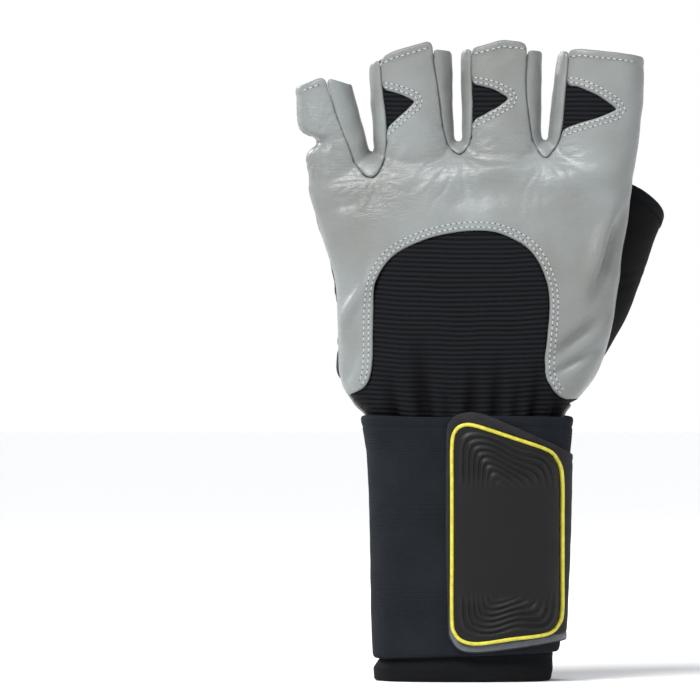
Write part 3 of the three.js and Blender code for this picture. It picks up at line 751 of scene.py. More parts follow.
def millimetres(tree, stretch=(1, 1, 1)):
    """Object coordinates in millimetres, stretched."""
    place = tree.nodes.new("ShaderNodeTexCoord").outputs["Object"]
    scale = tuple(1000 * share for share in stretch)
    return wire(tree, "ShaderNodeMapping", {"Vector": place, "Scale": scale}).outputs[0]


def mark_of(tree, name):
    """The number that a piece's mark has at a place."""
    return wire(tree, "ShaderNodeAttribute", attribute_name=name).outputs["Fac"]


def two_tone(tree, share, low, high):
    """A colour between two colours."""
    mixed = wire(tree, "ShaderNodeMix", {0: share}, data_type="RGBA")
    mixed.inputs["A"].default_value = (*low, 1)
    mixed.inputs["B"].default_value = (*high, 1)
    return mixed.outputs["Result"]


def new_material(name, **settings):
    """A material whose plain settings are on the shader's own sockets."""
    material = bpy.data.materials.new(name)
    material.use_nodes = True
    shader = material.node_tree.nodes["Principled BSDF"]
    for key, value in settings.items():
        shader.inputs[key.replace("_", " ")].default_value = value
    return material, material.node_tree, shader


def finish_material(tree, shader, colour, roughness, height, depth, strength=1.0):
    """Wires the colour, the roughness and a bump of some depth in metres to the shader."""
    bump = wire(tree, "ShaderNodeBump", {"Height": height, "Distance": depth, "Strength": strength})
    tree.links.new(colour, shader.inputs["Base Color"])
    tree.links.new(roughness, shader.inputs["Roughness"])
    tree.links.new(bump.outputs["Normal"], shader.inputs["Normal"])


def noise_node(tree, place, scale, detail=3.0, roughness=0.55):
    return wire(tree, "ShaderNodeTexNoise", {
        "Vector": place, "Scale": scale, "Detail": detail, "Roughness": roughness,
    }).outputs[0]


def spread(tree, value, low, high, to_low=0.0, to_high=1.0):
    """A value spread from one range to another, held inside it."""
    return wire(tree, "ShaderNodeMapRange", {
        "Value": value, "From Min": low, "From Max": high, "To Min": to_low, "To Max": to_high,
    }).outputs[0]


# Grain: pebbles that differ in size, fine creases between them, and slow clouds of tone
grain_tree, grain_in, grain_out = new_group(
    "leather_grain", {"Creases": 0.0}, ("Height", "Cloud", "Fine"))
place = millimetres(grain_tree)
pebbles = wire(grain_tree, "ShaderNodeTexVoronoi", {"Vector": place, "Scale": 1.15, "Randomness": 1.0},
               feature="DISTANCE_TO_EDGE").outputs[0]
pebbles = spread(grain_tree, pebbles, 0.0, 0.16)
pores = noise_node(grain_tree, place, 2.2, 4.0)
drawn = noise_node(grain_tree, millimetres(grain_tree, (0.16, 0.5, 1.0)), 0.42, 2.5)
ridge = maths(grain_tree, "ABSOLUTE", maths(grain_tree, "SUBTRACT", drawn, 0.5))
ridge = spread(grain_tree, ridge, 0.0, 0.05)
crease = times(grain_tree, ridge, grain_in["Creases"])
height = times(grain_tree, pebbles, 0.22)
height = plus(grain_tree, height, times(grain_tree, pores, 0.35))
height = plus(grain_tree, height, crease)
grain_tree.links.new(height, grain_out.inputs["Height"])
grain_tree.links.new(noise_node(grain_tree, place, 0.03, 2.0), grain_out.inputs["Cloud"])
grain_tree.links.new(plus(grain_tree, times(grain_tree, ridge, 0.6),
                           times(grain_tree, pores, 0.4)), grain_out.inputs["Fine"])


def leather(name, low, high, rough_low, rough_high):
    """Glove leather: two tones in slow clouds, with painted shade in its fine creases and pores that is
    deeper where the crease mark is high.
    """
    material, tree, shader = new_material(
        name, Specular_IOR_Level=0.42, Coat_Weight=0.05, Coat_Roughness=0.4)
    worn = mark_of(tree, "worn")
    drawn = times(tree, worn, 0.55)
    grain = wire(tree, "ShaderNodeGroup", {"Creases": drawn}, node_tree=grain_tree).outputs
    colour = two_tone(tree, spread(tree, grain["Cloud"], 0.35, 0.65), low, high)
    darker = wire(tree, "ShaderNodeMix", {0: 0.0}, data_type="RGBA", blend_type="MULTIPLY")
    tree.links.new(colour, darker.inputs["A"])
    darker.inputs["B"].default_value = (0.62, 0.62, 0.61, 1)
    # painted shade: the colour is darkened in the grain's fine creases and pores, more where the crease
    # mark is high
    crease_shade = times(tree, spread(tree, grain["Fine"], 0.75, 0.35),
                 plus(tree, times(tree, worn, 0.10), 0.06))
    tree.links.new(crease_shade, darker.inputs[0])
    rough = spread(tree, grain["Fine"], 0.3, 0.8, rough_high, rough_low)
    finish_material(tree, shader, darker.outputs["Result"], rough, grain["Height"], 0.00013)
    return material


def twisted(name, low, high, rough_low, rough_high):
    """Thread, or the painted shade of a needle hole: a fine mottled tone."""
    material, tree, shader = new_material(name)
    twist = wire(tree, "ShaderNodeTexNoise", {"Vector": millimetres(tree), "Scale": 4.0}).outputs[0]
    finish_material(tree, shader, two_tone(tree, twist, low, high),
                    spread(tree, twist, 0, 1, rough_low, rough_high), twist, 0.0001)
    return material


silver_leather = leather("silver_leather", (0.164, 0.169, 0.158), (0.203, 0.219, 0.218), 0.31, 0.42)
thread = twisted("pale_thread", (0.30, 0.32, 0.325), (0.46, 0.49, 0.50), 0.5, 0.7)
# painted shade: near-black beads stand in for the shade inside each needle hole
needle_hole_shade = twisted("needle_hole_shade", (0.03, 0.03, 0.03), (0.07, 0.07, 0.07), 0.7, 0.9)


def fasten(piece, material, slot, *nodes):
    """Gives a finished piece its material, hangs it from the root and hides the model's parts that it
    stands for.
    """
    piece.data.materials.append(material)
    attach(piece, "root")
    if nodes:
        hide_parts(*nodes)


def lay(piece, width, length, area, material, slot, *nodes):
    """Fastens a piece that was cut from flat leather or cloth."""
    fasten(piece, material, slot, *nodes)


def sew(name, rows, slot="pale_leather"):
    """Two pieces, the thread and the painted shade of the needle holes, from rows of stitches."""
    for kind, material, parts in (
        ("thread_", thread, [part for row in rows for part in row[0]]),
        ("holes_", needle_hole_shade, [part for row in rows for part in row[1]]),
    ):
        if parts:
            fasten(put_together(kind + name, parts), material, slot)


sky = [(FAR, ABOVE), (-FAR, ABOVE)]
arch_line = smooth_line(arch_edge)
arch_zone = np.concatenate((
    on_hand([(LOBE_SPLIT, BELOW)]), arch_line, on_hand([(-FAR, arch_edge[-1][1]), (-FAR, BELOW)]),
))
lobe_zone = on_hand([
    (LOBE_SPLIT, BELOW), (FAR, BELOW), (FAR, lobe_line[0][1]), *lobe_line, arch_edge[0],
])
fourchette_zones = {
    name: np.concatenate((
        on_hand([(line[0][0], ABOVE)]), smooth_line(line), on_hand([(line[-1][0], ABOVE)]),
    ))
    for name, line in fourchette_lines.items()
}
vent_zones = {name: on_hand(line) for name, line in vent_lines.items()}
above_back = on_hand([*hem_back, *sky])
above_palm = on_hand([*hem_palm, *sky])


def below_hems(points):
    """Less than nought below the folded hems of the fingers, on the back and on the palm side."""
    back = -zone_distance(above_back, points)
    palm = -zone_distance(above_palm, points)
    return np.where(points[:, 1] < SIDE_SEAM, back, palm)


form_side = form_points[:, 1] - SIDE_SEAM
form_hems = below_hems(form_points)
form_thumb = thumb_distance(form_points)
past_thumb = (form_points - np.array(thumb_end)) @ np.array(thumb_facing)
form_past = np.where(form_thumb < 0.003, past_thumb, -0.05)
form_back = np.maximum.reduce([form_side, -zone_distance(above_back, form_points), form_past + THUMB_HEM])
edge = LEATHER_WALL / 2
back_cut = np.maximum(form_back, outside_of(
    [arch_zone, lobe_zone, *fourchette_zones.values(), *vent_zones.values()], form_points,
))
points, normals, faces = panel(back_cut, edge)


def creases(points):
    """How much the leather creases at each point, and how deep, round the crotches."""
    amount = np.zeros(len(points))
    depth = np.zeros(len(points))
    for number, (across, up, size) in enumerate(crease_starts):
        start = on_hand([(across, up)])[0]
        offset = points[:, [0, 2]] - start
        away = np.linalg.norm(offset, axis=1)
        reach = np.exp(-((away - CREASE_START) / CREASE_FADE) ** 2) * size
        reach = np.where(away < CREASE_START, size * away / CREASE_START, reach)
        turn = np.arctan2(offset[:, 1], offset[:, 0])
        for finer, share in ((3.0, 1.0), (6.5, 0.5)):
            spots = np.column_stack((turn * finer, away / 0.016, np.full(len(turn), number + finer)))
            ridge = np.clip(1 - np.abs(noise_at(spots, 1.0, 3.7)) * 5.0, 0, 1)
            depth += share * reach * ridge * ridge * (3 - 2 * ridge)
        amount = np.maximum(amount, reach)
    return amount, depth


def seam_wave(line, points, pitch, seed, closed=False):
    """Distance from a seam, and noise from -1 to 1 that changes only along it."""
    gap, along = line_distance(line, points, closed)
    return gap, noise_at(np.outer(along / pitch, (1, 0, 0)), 1.0, seed)


amount, depth = creases(points)
points = raised(points, normals, -depth * CREASE_DEPTH)
points = folded(points, normals, leather_folds, 2.4)
points = rumpled(points, normals, 0.014, 0.0005, 5.0)
points = rumpled(points, normals, 0.0055, 0.00018, 9.0)
for line in (arch_line, *vent_zones.values()):
    gap, wave = seam_wave(line, points, PUCKER_PITCH, 2.0, closed=line is not arch_line)
    points = raised(points, normals, -PUCKER_DEPTH * np.exp(-(gap / PUCKER_REACH) ** 2) * (0.6 + wave))
hem_gap = zone_distance(above_back, points)
points = raised(points, normals, np.clip((HEM_TURN - np.abs(hem_gap)) / 0.0006, 0, 1) * HEM_PROUD)
# the crease amount is also the mark that deepens the painted shade in the leather's creases
leather_back = thick_sheet("leather_back", points, faces, LEATHER_WALL, worn=np.clip(amount + 0.12, 0, 1))
lay(leather_back, 0.150, 0.135, 0.0105, silver_leather, "leather", "back_shell")

back_tree = tree_of(leather_back)
arch_sewn = arch_line[2:-4]
rows = [stitch_row(beside(arch_sewn, gap), STITCH_PITCH, back_tree) for gap in ARCH_ROWS]
for zone in vent_zones.values():
    outline = smooth_rows(zone, 4)
    rows += [stitch_row(beside(outline, gap), VENT_STITCH_PITCH, back_tree) for gap in VENT_ROWS]
hem_line = on_hand(hem_back)
for low, high in hem_spans:
    stops = np.linspace(low * HAND_WIDTH, high * HAND_WIDTH, 30)
    heights = np.interp(stops, hem_line[:, 0], hem_line[:, 1]) - HEM_ROW
    rows.append(stitch_row(np.column_stack((stops, heights)), HEM_STITCH_PITCH, back_tree))
sew("back", rows, "leather")

# Rib-knit stretch panel under the arch and inside the vents: black elastic cloth with ridges
# that run across the hand, sewn behind the leather's edge and gathered where the cuff grips it.
RIB_PITCH = 0.00172
RIB_DEPTH = 0.00042
KNIT_WALL = 0.0012
KNIT_SUNK = 0.0011
KNIT_TUCK = 0.010
KNIT_LAP = 0.0035
KNIT_STEP = 0.00029
KNIT_COLUMNS = 96
VENT_LAP = 0.0018
VENT_STEP = 0.00028
VENT_COLUMN_STEP = 0.0007
# Gathers above the cuff: across in metres, how wide, how deep and how far up
gathers = [
    (-0.0270, 0.0022, 0.0016, 0.020), (-0.0150, 0.0028, 0.0022, 0.034), (-0.0068, 0.0016, 0.0010, 0.014),
    (0.0014, 0.0020, 0.0020, 0.022), (0.0104, 0.0020, 0.0018, 0.026), (0.0180, 0.0016, 0.0012, 0.018),
    (0.0248, 0.0020, 0.0016, 0.022), (0.0325, 0.0018, 0.0012, 0.012),
]


def ribbed(points, normals, sag):
    """Raises the ribs, which sag a little across the hand, on a finely divided sheet, and gives back
    their wave, which the knit's colour takes as painted highlight on the crests and painted shade in the
    grooves.
    """
    level = points[:, 2] - sag * (points[:, 0] / 0.03) ** 2 + 0.0004 * noise_at(points, 0.012, 1.5)
    wave = np.abs(np.sin(level * math.pi / RIB_PITCH)) ** 0.75
    return raised(points, normals, (wave - 1) * RIB_DEPTH), wave


def hand_back_grid(low, high, step, columns):
    """An even grid over the back half of the hand's form, a little past its sides."""
    stops = np.arange(low, high, step)
    rings = hand_rings()
    heights = np.array([ring[0, 2] for ring in rings])
    stacked = np.array(rings)
    sides = stacked.shape[1]
    half = np.arange(sides // 2 - 1, sides + 2) % sides
    grid = []
    for stop in stops:
        ring = np.empty((len(half), 3))
        for column in range(3):
            ring[:, column] = [np.interp(stop, heights, stacked[:, corner, column]) for corner in half]
        places, _ = resample(ring, run_of(ring)[-1] / columns)
        grid.append(places[:columns - 1])
    return grid


def grid_faces(rows, columns):
    """The faces of an open grid of points."""
    return [
        [row * columns + side, row * columns + side + 1, (row + 1) * columns + side + 1,
         (row + 1) * columns + side]
        for row in range(rows - 1) for side in range(columns - 1)
    ]


rib_look, tree, shader = new_material("rib_knit_cloth", Specular_IOR_Level=0.04)
ribs = mark_of(tree, "rib")
loops = wire(tree, "ShaderNodeTexWave", {
    "Vector": millimetres(tree), "Scale": 0.42, "Distortion": 0.6, "Detail": 1.0,
}, bands_direction="X").outputs["Fac"]
fuzz = noise_node(tree, millimetres(tree), 2.6, 3.0)
loops = plus(tree, times(tree, loops, 0.6), times(tree, fuzz, 0.6))
# painted highlight and shade: the knit's colour is lighter on the rib crests and darker in the grooves
# between them
tone = times(tree, maths(tree, "POWER", ribs, 1.6), spread(tree, loops, 0.2, 0.9, 0.65, 1.0))
finish_material(tree, shader, two_tone(tree, tone, (0.003, 0.003, 0.0037), (0.0125, 0.0133, 0.016)),
                spread(tree, fuzz, 0.3, 0.7, 0.62, 0.8), loops, 0.00015)


def drop_faces(points, faces, values):
    """The faces whose corners all have values less than nought, and only their points."""
    kept = [face for face in faces if all(values[corner] < 0 for corner in face)]
    used = sorted({corner for face in kept for corner in face})
    places = {corner: place for place, corner in enumerate(used)}
    return points[used], [[places[corner] for corner in face] for face in kept], np.array(used)


knit_foot = CUFF_HEIGHT - KNIT_TUCK
knit_top = CUFF_HEIGHT + 0.525 * HAND_RISE
grid = hand_back_grid(knit_foot, knit_top, KNIT_STEP, KNIT_COLUMNS)
points = np.concatenate(grid)
faces = grid_faces(len(grid), len(grid[0]))
faces = [face[::-1] for face in faces] if sheet_normals(points, faces)[len(points) // 2, 1] > 0 else faces
normals = sheet_normals(points, faces)
points = folded(points, normals, broad_folds)
drawn = np.zeros(len(points))
for across, wide, deep, tall in gathers:
    lean = across + (points[:, 2] - CUFF_HEIGHT) * (-0.10 if across < 0 else 0.04)
    rise = np.clip(1 - (points[:, 2] - CUFF_HEIGHT) / tall, 0, 1)
    drawn += 1.5 * deep * rise**1.2 * np.exp(-((points[:, 0] - lean) / wide) ** 2)
arch_gap = zone_distance(arch_zone, points)
tucked = np.clip((arch_gap + 0.0002) / 0.0022, 0, 1) * 0.0018
tucked = tucked * np.clip((points[:, 2] - CUFF_HEIGHT - 0.009) / 0.003, 0, 1)
points = raised(points, normals, -drawn - KNIT_SUNK - tucked)
normals = sheet_normals(points, faces)
points, rib_light_and_shade = ribbed(points, normals, 0.0010)
# painted shade: the rib mark is lowered in the gathers, so the colour is darker in their valleys
rib_light_and_shade = rib_light_and_shade * (1 - 0.7 * np.clip(drawn / 0.0022, 0, 1))
field = np.maximum(zone_distance(arch_zone, points) - KNIT_LAP, points[:, 1] - SIDE_SEAM)
points, faces, used = drop_faces(points, faces, field)
arch_panel = thick_sheet("rib_knit_panel", points, faces, KNIT_WALL, 3, rib=rib_light_and_shade[used])
lay(arch_panel, 0.105, 0.085, 0.0069, rib_look, "rib_knit", "stretch_panel")

insert_cuts = {
    "ring": (0.021, 0.018, 0.00018), "middle": (0.022, 0.018, 0.00020), "index": (0.030, 0.024, 0.00032),
}
for name, zone in vent_zones.items():
    low, high = zone.min(axis=0) - VENT_LAP, zone.max(axis=0) + VENT_LAP
    stops_x = np.arange(low[0], high[0], VENT_COLUMN_STEP)
    stops_z = np.arange(low[1], high[1], VENT_STEP)
    points = []
    normals = []
    for up in stops_z:
        for across in stops_x:
            hit, normal, _, _ = form_tree.ray_cast(Vector((across, -0.2, up)), Vector((0, 1, 0)))
            points.append(tuple(hit) if hit and hit.y < SIDE_SEAM else (across, 0.05, up))
            normals.append(tuple(normal) if hit else (0, -1, 0))
    points = np.array(points)
    normals = np.array(normals)
    faces = grid_faces(len(stops_z), len(stops_x))
    outside = np.maximum(points[:, 1] - SIDE_SEAM, zone_distance(zone, points) - VENT_LAP)
    outside = np.maximum(outside, outside_of(fourchette_zones.values(), points) - 0.0013)
    points = points - normals * KNIT_SUNK
    points, rib_light_and_shade = ribbed(points, normals, 0.0)
    points, faces, used = drop_faces(points, faces, outside)
    if sheet_normals(points, faces)[:, 1].mean() > 0:
        faces = [face[::-1] for face in faces]
    insert = thick_sheet("vent_knit_" + name, points, faces, KNIT_WALL * 0.7, 3, rib=rib_light_and_shade[used])
    lay(insert, *insert_cuts[name], rib_look, "rib_knit", "knuckle_insert_" + name)

# Finger sides: a U-shaped strip of the same leather between each two fingers, turned in at its
# seams. On the palm side a pale tongue of thinner leather is let in at its foot.
FINGER_SIDE_TURN = 0.0004
TONGUE_CORNER = 0.02
tongues = {
    "pinky_ring": (-0.292, 0.086, 0.560, 0.655), "ring_middle": (-0.047, 0.092, 0.620, 0.708),
    "middle_index": (0.217, 0.092, 0.624, 0.706),
}
tongue_zones = {}
for name, (middle, wide, low, high) in tongues.items():
    half = wide / 2
    left_side = [
        (-half, high), (-half, low + TONGUE_CORNER * 1.4),
        (TONGUE_CORNER * 0.3 - half, low + TONGUE_CORNER * 0.5), (TONGUE_CORNER - half, low),
    ]
    right_side = [(-across, up) for across, up in reversed(left_side)]
    outline = np.array([*left_side, *right_side, (0, high - TONGUE_CORNER)])
    tongue_zones[name] = on_hand(outline + (middle, 0))
pale_leather = leather("pale_leather", (0.44, 0.485, 0.51), (0.50, 0.555, 0.59), 0.36, 0.50)
form_palm = -form_side
tongue_rows = []
side_cuts = {
    "pinky_ring": (0.030, 0.090, 0.00146), "ring_middle": (0.028, 0.080, 0.00119),
    "middle_index": (0.028, 0.085, 0.00128),
}
for name, zone in fourchette_zones.items():
    tongue = np.maximum(zone_distance(tongue_zones[name], form_points), form_palm)
    strip = np.maximum.reduce([zone_distance(zone, form_points), form_hems, -tongue])
    points, normals, faces = panel(strip, edge)
    amount, _ = creases(points)
    near = np.exp(-(line_distance(zone, points)[0] / 0.0016) ** 2)
    points = raised(points, normals, -near * FINGER_SIDE_TURN)
    points = rumpled(points, normals, 0.006, 0.0003, 21.0)
    worn = np.clip(amount * 0.7 + 0.1, 0, 1)
    piece = thick_sheet("finger_side_" + name, points, faces, LEATHER_WALL, worn=worn)
    lay(piece, *side_cuts[name], silver_leather, "leather", "fourchette_" + name)
    side_tree = tree_of(piece)
    points, normals, faces = panel(tongue, edge)
    points = rumpled(points, normals, 0.005, 0.00025, 31.0)
    piece = thick_sheet("pale_tongue_" + name, points, faces, LEATHER_WALL, worn=0.05)
    lay(piece, 0.0115, 0.0135, 0.000125, pale_leather, "pale_leather", "crotch_patch_" + name)
    middle, wide, low, high = tongues[name]
    # A row down each finger side, close to the suede
    for share in (-0.5, 0.5):
        side = middle + share * wide
        line = on_hand([(side - share * wide * 0.14, high + 0.030), (side, high + 0.16)])
        tongue_rows.append(stitch_row(smooth_rows(line, 6), HEM_STITCH_PITCH, side_tree, palm=True))
sew("finger_sides", tongue_rows, "pale_leather")

# Palm: black suede from the padded part up over the four fingers' fronts, cut in one piece and
# sewn to the finger sides and, along the glove's two sides, to the leather of the back
pad_arc = [
    (-0.330, 0.450), (-0.175, 0.416), (-0.126, 0.392), (-0.045, 0.452), (0.052, 0.517),
    (0.181, 0.556), (0.300, 0.566), (0.362, 0.542), (0.386, 0.508),
]
palm_edge = [
    (-0.288, 0.101), (-0.142, 0.123), (0.019, 0.143), (0.110, 0.180), (0.195, 0.243),
    (0.271, 0.324), (0.331, 0.404), (0.377, 0.485), (0.411, 0.566), (0.432, 0.647), (0.450, 0.740),
]
spandex_edge = [
    (0.133, 0.056), (0.181, 0.129), (0.254, 0.213), (0.322, 0.309), (0.377, 0.397),
    (0.415, 0.478), (0.441, 0.559), (0.458, 0.647), (0.470, 0.740),
]
spandex_low = [(0.430, 0.074), (0.390, 0.066), (0.350, 0.050), (0.300, 0.034), (0.181, 0.031)]
wrist_seam = [(0.022, 0.143), (0.100, 0.059), (0.110, 0.020)]
# Quilting on the pad: three soft seams that cross the palm
quilt_lines = [
    [(-0.126, 0.390), (-0.045, 0.368), (0.052, 0.340), (0.133, 0.320), (0.214, 0.326), (0.278, 0.312)],
    [(-0.256, 0.438), (-0.190, 0.416), (-0.126, 0.390)],
    [(-0.256, 0.298), (-0.190, 0.340), (-0.126, 0.390)],
    [(0.052, 0.340), (0.060, 0.250), (0.040, 0.160)],
]
pad_line = smooth_line(pad_arc)
edge_line = smooth_line(palm_edge)
seam_start = int(np.argmax(edge_line[:, 0] > on_hand(wrist_seam[:1])[0, 0]))
spandex_line = smooth_line(spandex_edge)
arch_end = pad_arc[-1][1]
wrist_line = on_hand(wrist_seam)
seam_foot = wrist_seam[-1][0]
upper_zone = np.concatenate((pad_line, on_hand([(FAR, arch_end), *sky, (-FAR, pad_arc[0][1])])))
wrist_zone = np.concatenate((
    on_hand([(-FAR, BELOW), (seam_foot, BELOW)]), wrist_line[::-1], edge_line[:seam_start][::-1],
    on_hand([(-FAR, palm_edge[0][1])]),
))
thumb_side = np.concatenate((
    on_hand([(seam_foot, BELOW), (FAR, BELOW), (FAR, palm_edge[-1][1])]),
    edge_line[seam_start:][::-1], wrist_line,
))
low_edge = smooth_line(spandex_low)
spandex_zone = np.concatenate((
    spandex_line, on_hand([(FAR, spandex_edge[-1][1]), (FAR, spandex_low[0][1])]), low_edge,
))

nap_tree, nap_in, nap_out = new_group("suede_nap", {"Streaks": 0.5}, ("Height", "Tone"))
place = millimetres(nap_tree)
short = noise_node(nap_tree, place, 3.2, 5.0, 0.7)
brushed = noise_node(nap_tree, millimetres(nap_tree, (1.0, 1.0, 0.35)), 0.22, 4.0, 0.6)
clouds = noise_node(nap_tree, place, 0.06, 4.0, 0.6)
streaks = times(nap_tree, brushed, nap_in["Streaks"])
tone = plus(nap_tree, times(nap_tree, clouds, 0.6), plus(nap_tree, streaks, -0.15))
nap_tree.links.new(plus(nap_tree, short, times(nap_tree, brushed, 0.4)), nap_out.inputs["Height"])
nap_tree.links.new(tone, nap_out.inputs["Tone"])


def suede(name, low, high, streaks, sheen):
    """Brushed leather: a short nap whose tone shifts where it was stroked or rubbed."""
    material, tree, shader = new_material(
        name, Specular_IOR_Level=0.08, Sheen_Weight=sheen, Sheen_Roughness=0.5)
    nap = wire(tree, "ShaderNodeGroup", {"Streaks": streaks}, node_tree=nap_tree).outputs
    rubbed = mark_of(tree, "worn")
    tone = plus(tree, spread(tree, nap["Tone"], 0.15, 0.85), times(tree, rubbed, 0.5), True)
    finish_material(tree, shader, two_tone(tree, tone, low, high),
                    spread(tree, tone, 0, 1, 0.92, 0.7), nap["Height"], 0.00025)
    return material


black_suede = suede("black_suede", (0.0035, 0.004, 0.0046), (0.009, 0.0107, 0.0122), 0.6, 0.03)
upper = zone_distance(upper_zone, form_points)
on_thumb = form_thumb - 0.0008
not_sides = outside_of([*fourchette_zones.values(), *tongue_zones.values()], form_points)
palm_cut = np.maximum.reduce([form_palm, upper, form_hems, not_sides, -on_thumb])
points, normals, faces = panel(palm_cut, edge)
palm_folds = [
    (1, 0.100, 0.600, 0.16, 0.022, 4, 0.030), (1, -0.230, 0.560, 0.10, 0.020, -12, 0.026),
    (1, 0.330, 0.640, 0.12, 0.022, 10, 0.026), (1, -0.100, 0.720, 0.07, 0.014, 4, 0.016),
    (1, 0.110, 0.800, 0.07, 0.012, -3, 0.014), (1, 0.390, 0.800, 0.08, 0.014, 6, 0.016),
]
pull = fold_depth(points, palm_folds) * np.abs(normals[:, 1])
points = raised(points, normals, -pull)
points = rumpled(points, normals, 0.010, 0.0005, 41.0)
worn = np.clip(pull / 0.0012, 0, 1) * 0.6
palm_suede = thick_sheet("suede_palm", points, faces, LEATHER_WALL, worn=worn)
lay(palm_suede, 0.120, 0.095, 0.0062, black_suede, "suede", "palm_suede")

# Padded heel and ball of the palm: suede over thin foam that also wraps the thumb's front. It is
# sewn down along its edges, quilted by soft seams and creased where the hand closes.
PAD_PUFF = 0.0016
QUILT_PITCH = 0.0028
QUILT_DEPTH = 0.0016
SIM_SCALE = 10
SIM_PRESSURE = 4.0
SIM_SLACK = 0.06
SIM_FRAMES = 20
SIM_REACH = 0.0018
pad_creases = [
    (1, 0.170, 0.440, 0.14, 0.020, 112, 0.050), (1, 0.110, 0.425, 0.12, 0.016, 106, 0.044),
    (1, 0.225, 0.455, 0.10, 0.018, 120, 0.036), (1, 0.050, 0.300, 0.10, 0.014, 35, 0.030),
    (1, 0.150, 0.270, 0.09, 0.013, 50, 0.028), (1, -0.150, 0.250, 0.12, 0.018, -40, 0.026),
    (1, -0.060, 0.200, 0.10, 0.014, 20, 0.020), (1, 0.270, 0.400, 0.10, 0.014, 70, 0.026),
]


def blown(points, faces, pins):
    """An open sheet's points after a short cloth simulation, held where the pins are one."""
    cloth = new_object("pad_cloth", points * SIM_SCALE, faces)
    group = cloth.vertex_groups.new(name="pins")
    for vertex, weight in enumerate(pins):
        group.add([vertex], float(weight), "REPLACE")
    modifier = cloth.modifiers.new("cloth", "CLOTH")
    modifier.settings.vertex_group_mass = "pins"
    modifier.settings.use_pressure = True
    modifier.settings.uniform_pressure_force = SIM_PRESSURE
    modifier.settings.shrink_min = -SIM_SLACK
    modifier.settings.bending_stiffness = 0.3
    modifier.settings.effector_weights.gravity = 0
    modifier.collision_settings.use_collision = False
    modifier.point_cache.frame_start = 1
    modifier.point_cache.frame_end = SIM_FRAMES
    for moment in range(1, SIM_FRAMES + 1):
        bpy.context.scene.frame_set(moment)
    evaluated = cloth.evaluated_get(bpy.context.evaluated_depsgraph_get())
    moved = mesh_points(evaluated.data) / SIM_SCALE - points
    bpy.context.scene.frame_set(1)
    bpy.data.objects.remove(cloth)
    length = np.linalg.norm(moved, axis=1)
    return points + moved * np.minimum(1, SIM_REACH / np.maximum(length, 1e-9))[:, None]


wrist = zone_distance(wrist_zone, form_points)
side = zone_distance(thumb_side, form_points)
lower = np.minimum(-upper, on_thumb)
end_of_thumb = form_past + THUMB_HEM
points, normals, faces = panel(np.maximum.reduce([form_palm, lower, -wrist, -side, end_of_thumb]), edge)
quilts = [smooth_line(line) for line in quilt_lines]
near = np.minimum.reduce(
    [line_distance(line, points)[0] for line in quilts]
    + [line_distance(pad_line, points)[0], line_distance(edge_line, points)[0]]
)
rim = np.clip((points[:, 1] - SIDE_SEAM - 0.001) / 0.010, 0, 1)
puff = PAD_PUFF * (1 - np.exp(-near / 0.0045)) * rim * rim * (3 - 2 * rim)
points = raised(points, normals, puff + 0.0004 * rim)
for line in quilts:
    gap, wave = seam_wave(line, points, QUILT_PITCH, 12.0)
    points = raised(points, normals, -QUILT_DEPTH * np.exp(-((gap - 0.002) / 0.0045) ** 2) * (0.3 + wave))
pull = fold_depth(points, pad_creases) * np.abs(normals[:, 1]) * 1.9
points = raised(points, normals, -pull)
points = rumpled(points, normals, 0.008, 0.0007, 51.0)
side_hold = 1 - np.clip((points[:, 1] - SIDE_SEAM) / 0.006, 0, 1)
held = np.maximum(np.exp(-(near / 0.0011) ** 2), side_hold)
held[sorted({vertex for pair in border_edges(faces) for vertex in pair})] = 1
points = blown(points, faces, held)
worn = np.clip(pull / 0.0016 + np.exp(-near / 0.0016) * 0.7, 0, 1)
palm_pad = thick_sheet("padded_palm", points, faces, LEATHER_WALL, worn=worn)
pad_suede = suede("pad_suede", (0.0055, 0.0066, 0.0075), (0.015, 0.0185, 0.0205), 0.5, 0.06)
fasten(palm_pad, pad_suede, "padded_suede", "palm_pad")
pad_tree = tree_of(palm_pad)
rows = [stitch_row(line, 0.0024, pad_tree, palm=True) for line in quilts[:3]]
rows.append(stitch_row(beside(edge_line, 0.0022), 0.0024, pad_tree, palm=True))
grey_thread = twisted("dark_grey_thread", (0.05, 0.06, 0.065), (0.12, 0.13, 0.14), 0.5, 0.7)
fasten(put_together("thread_pad", [part for row in rows for part in row[0]]), grey_thread, "padded_suede")

# Wrist leather: a light grey band of glove leather between the padded palm and the cuff. A strip
# of the same leather runs up the thumb and ends in a small lobe on the back. The two meet at a
# seam that is stitched on both sides.
wrist_folds = [
    (1, -0.100, 0.070, 0.10, 0.016, -30, 0.036), (1, -0.190, 0.055, 0.08, 0.014, -50, 0.030),
    (1, 0.000, 0.060, 0.08, 0.014, 12, 0.026), (1, -0.270, 0.050, 0.06, 0.012, 40, 0.022),
]
warm_leather = leather("warm_leather", (0.215, 0.210, 0.195), (0.27, 0.27, 0.257), 0.32, 0.44)
points, normals, faces = panel(np.maximum(form_palm, wrist), edge)
points = folded(points, normals, wrist_folds, 1.8)
points = rumpled(points, normals, 0.007, 0.0005, 61.0)
wrist_band = thick_sheet("wrist_leather", points, faces, LEATHER_WALL, worn=0.35)
lay(wrist_band, 0.120, 0.040, 0.0025, warm_leather, "leather", "wrist_band")

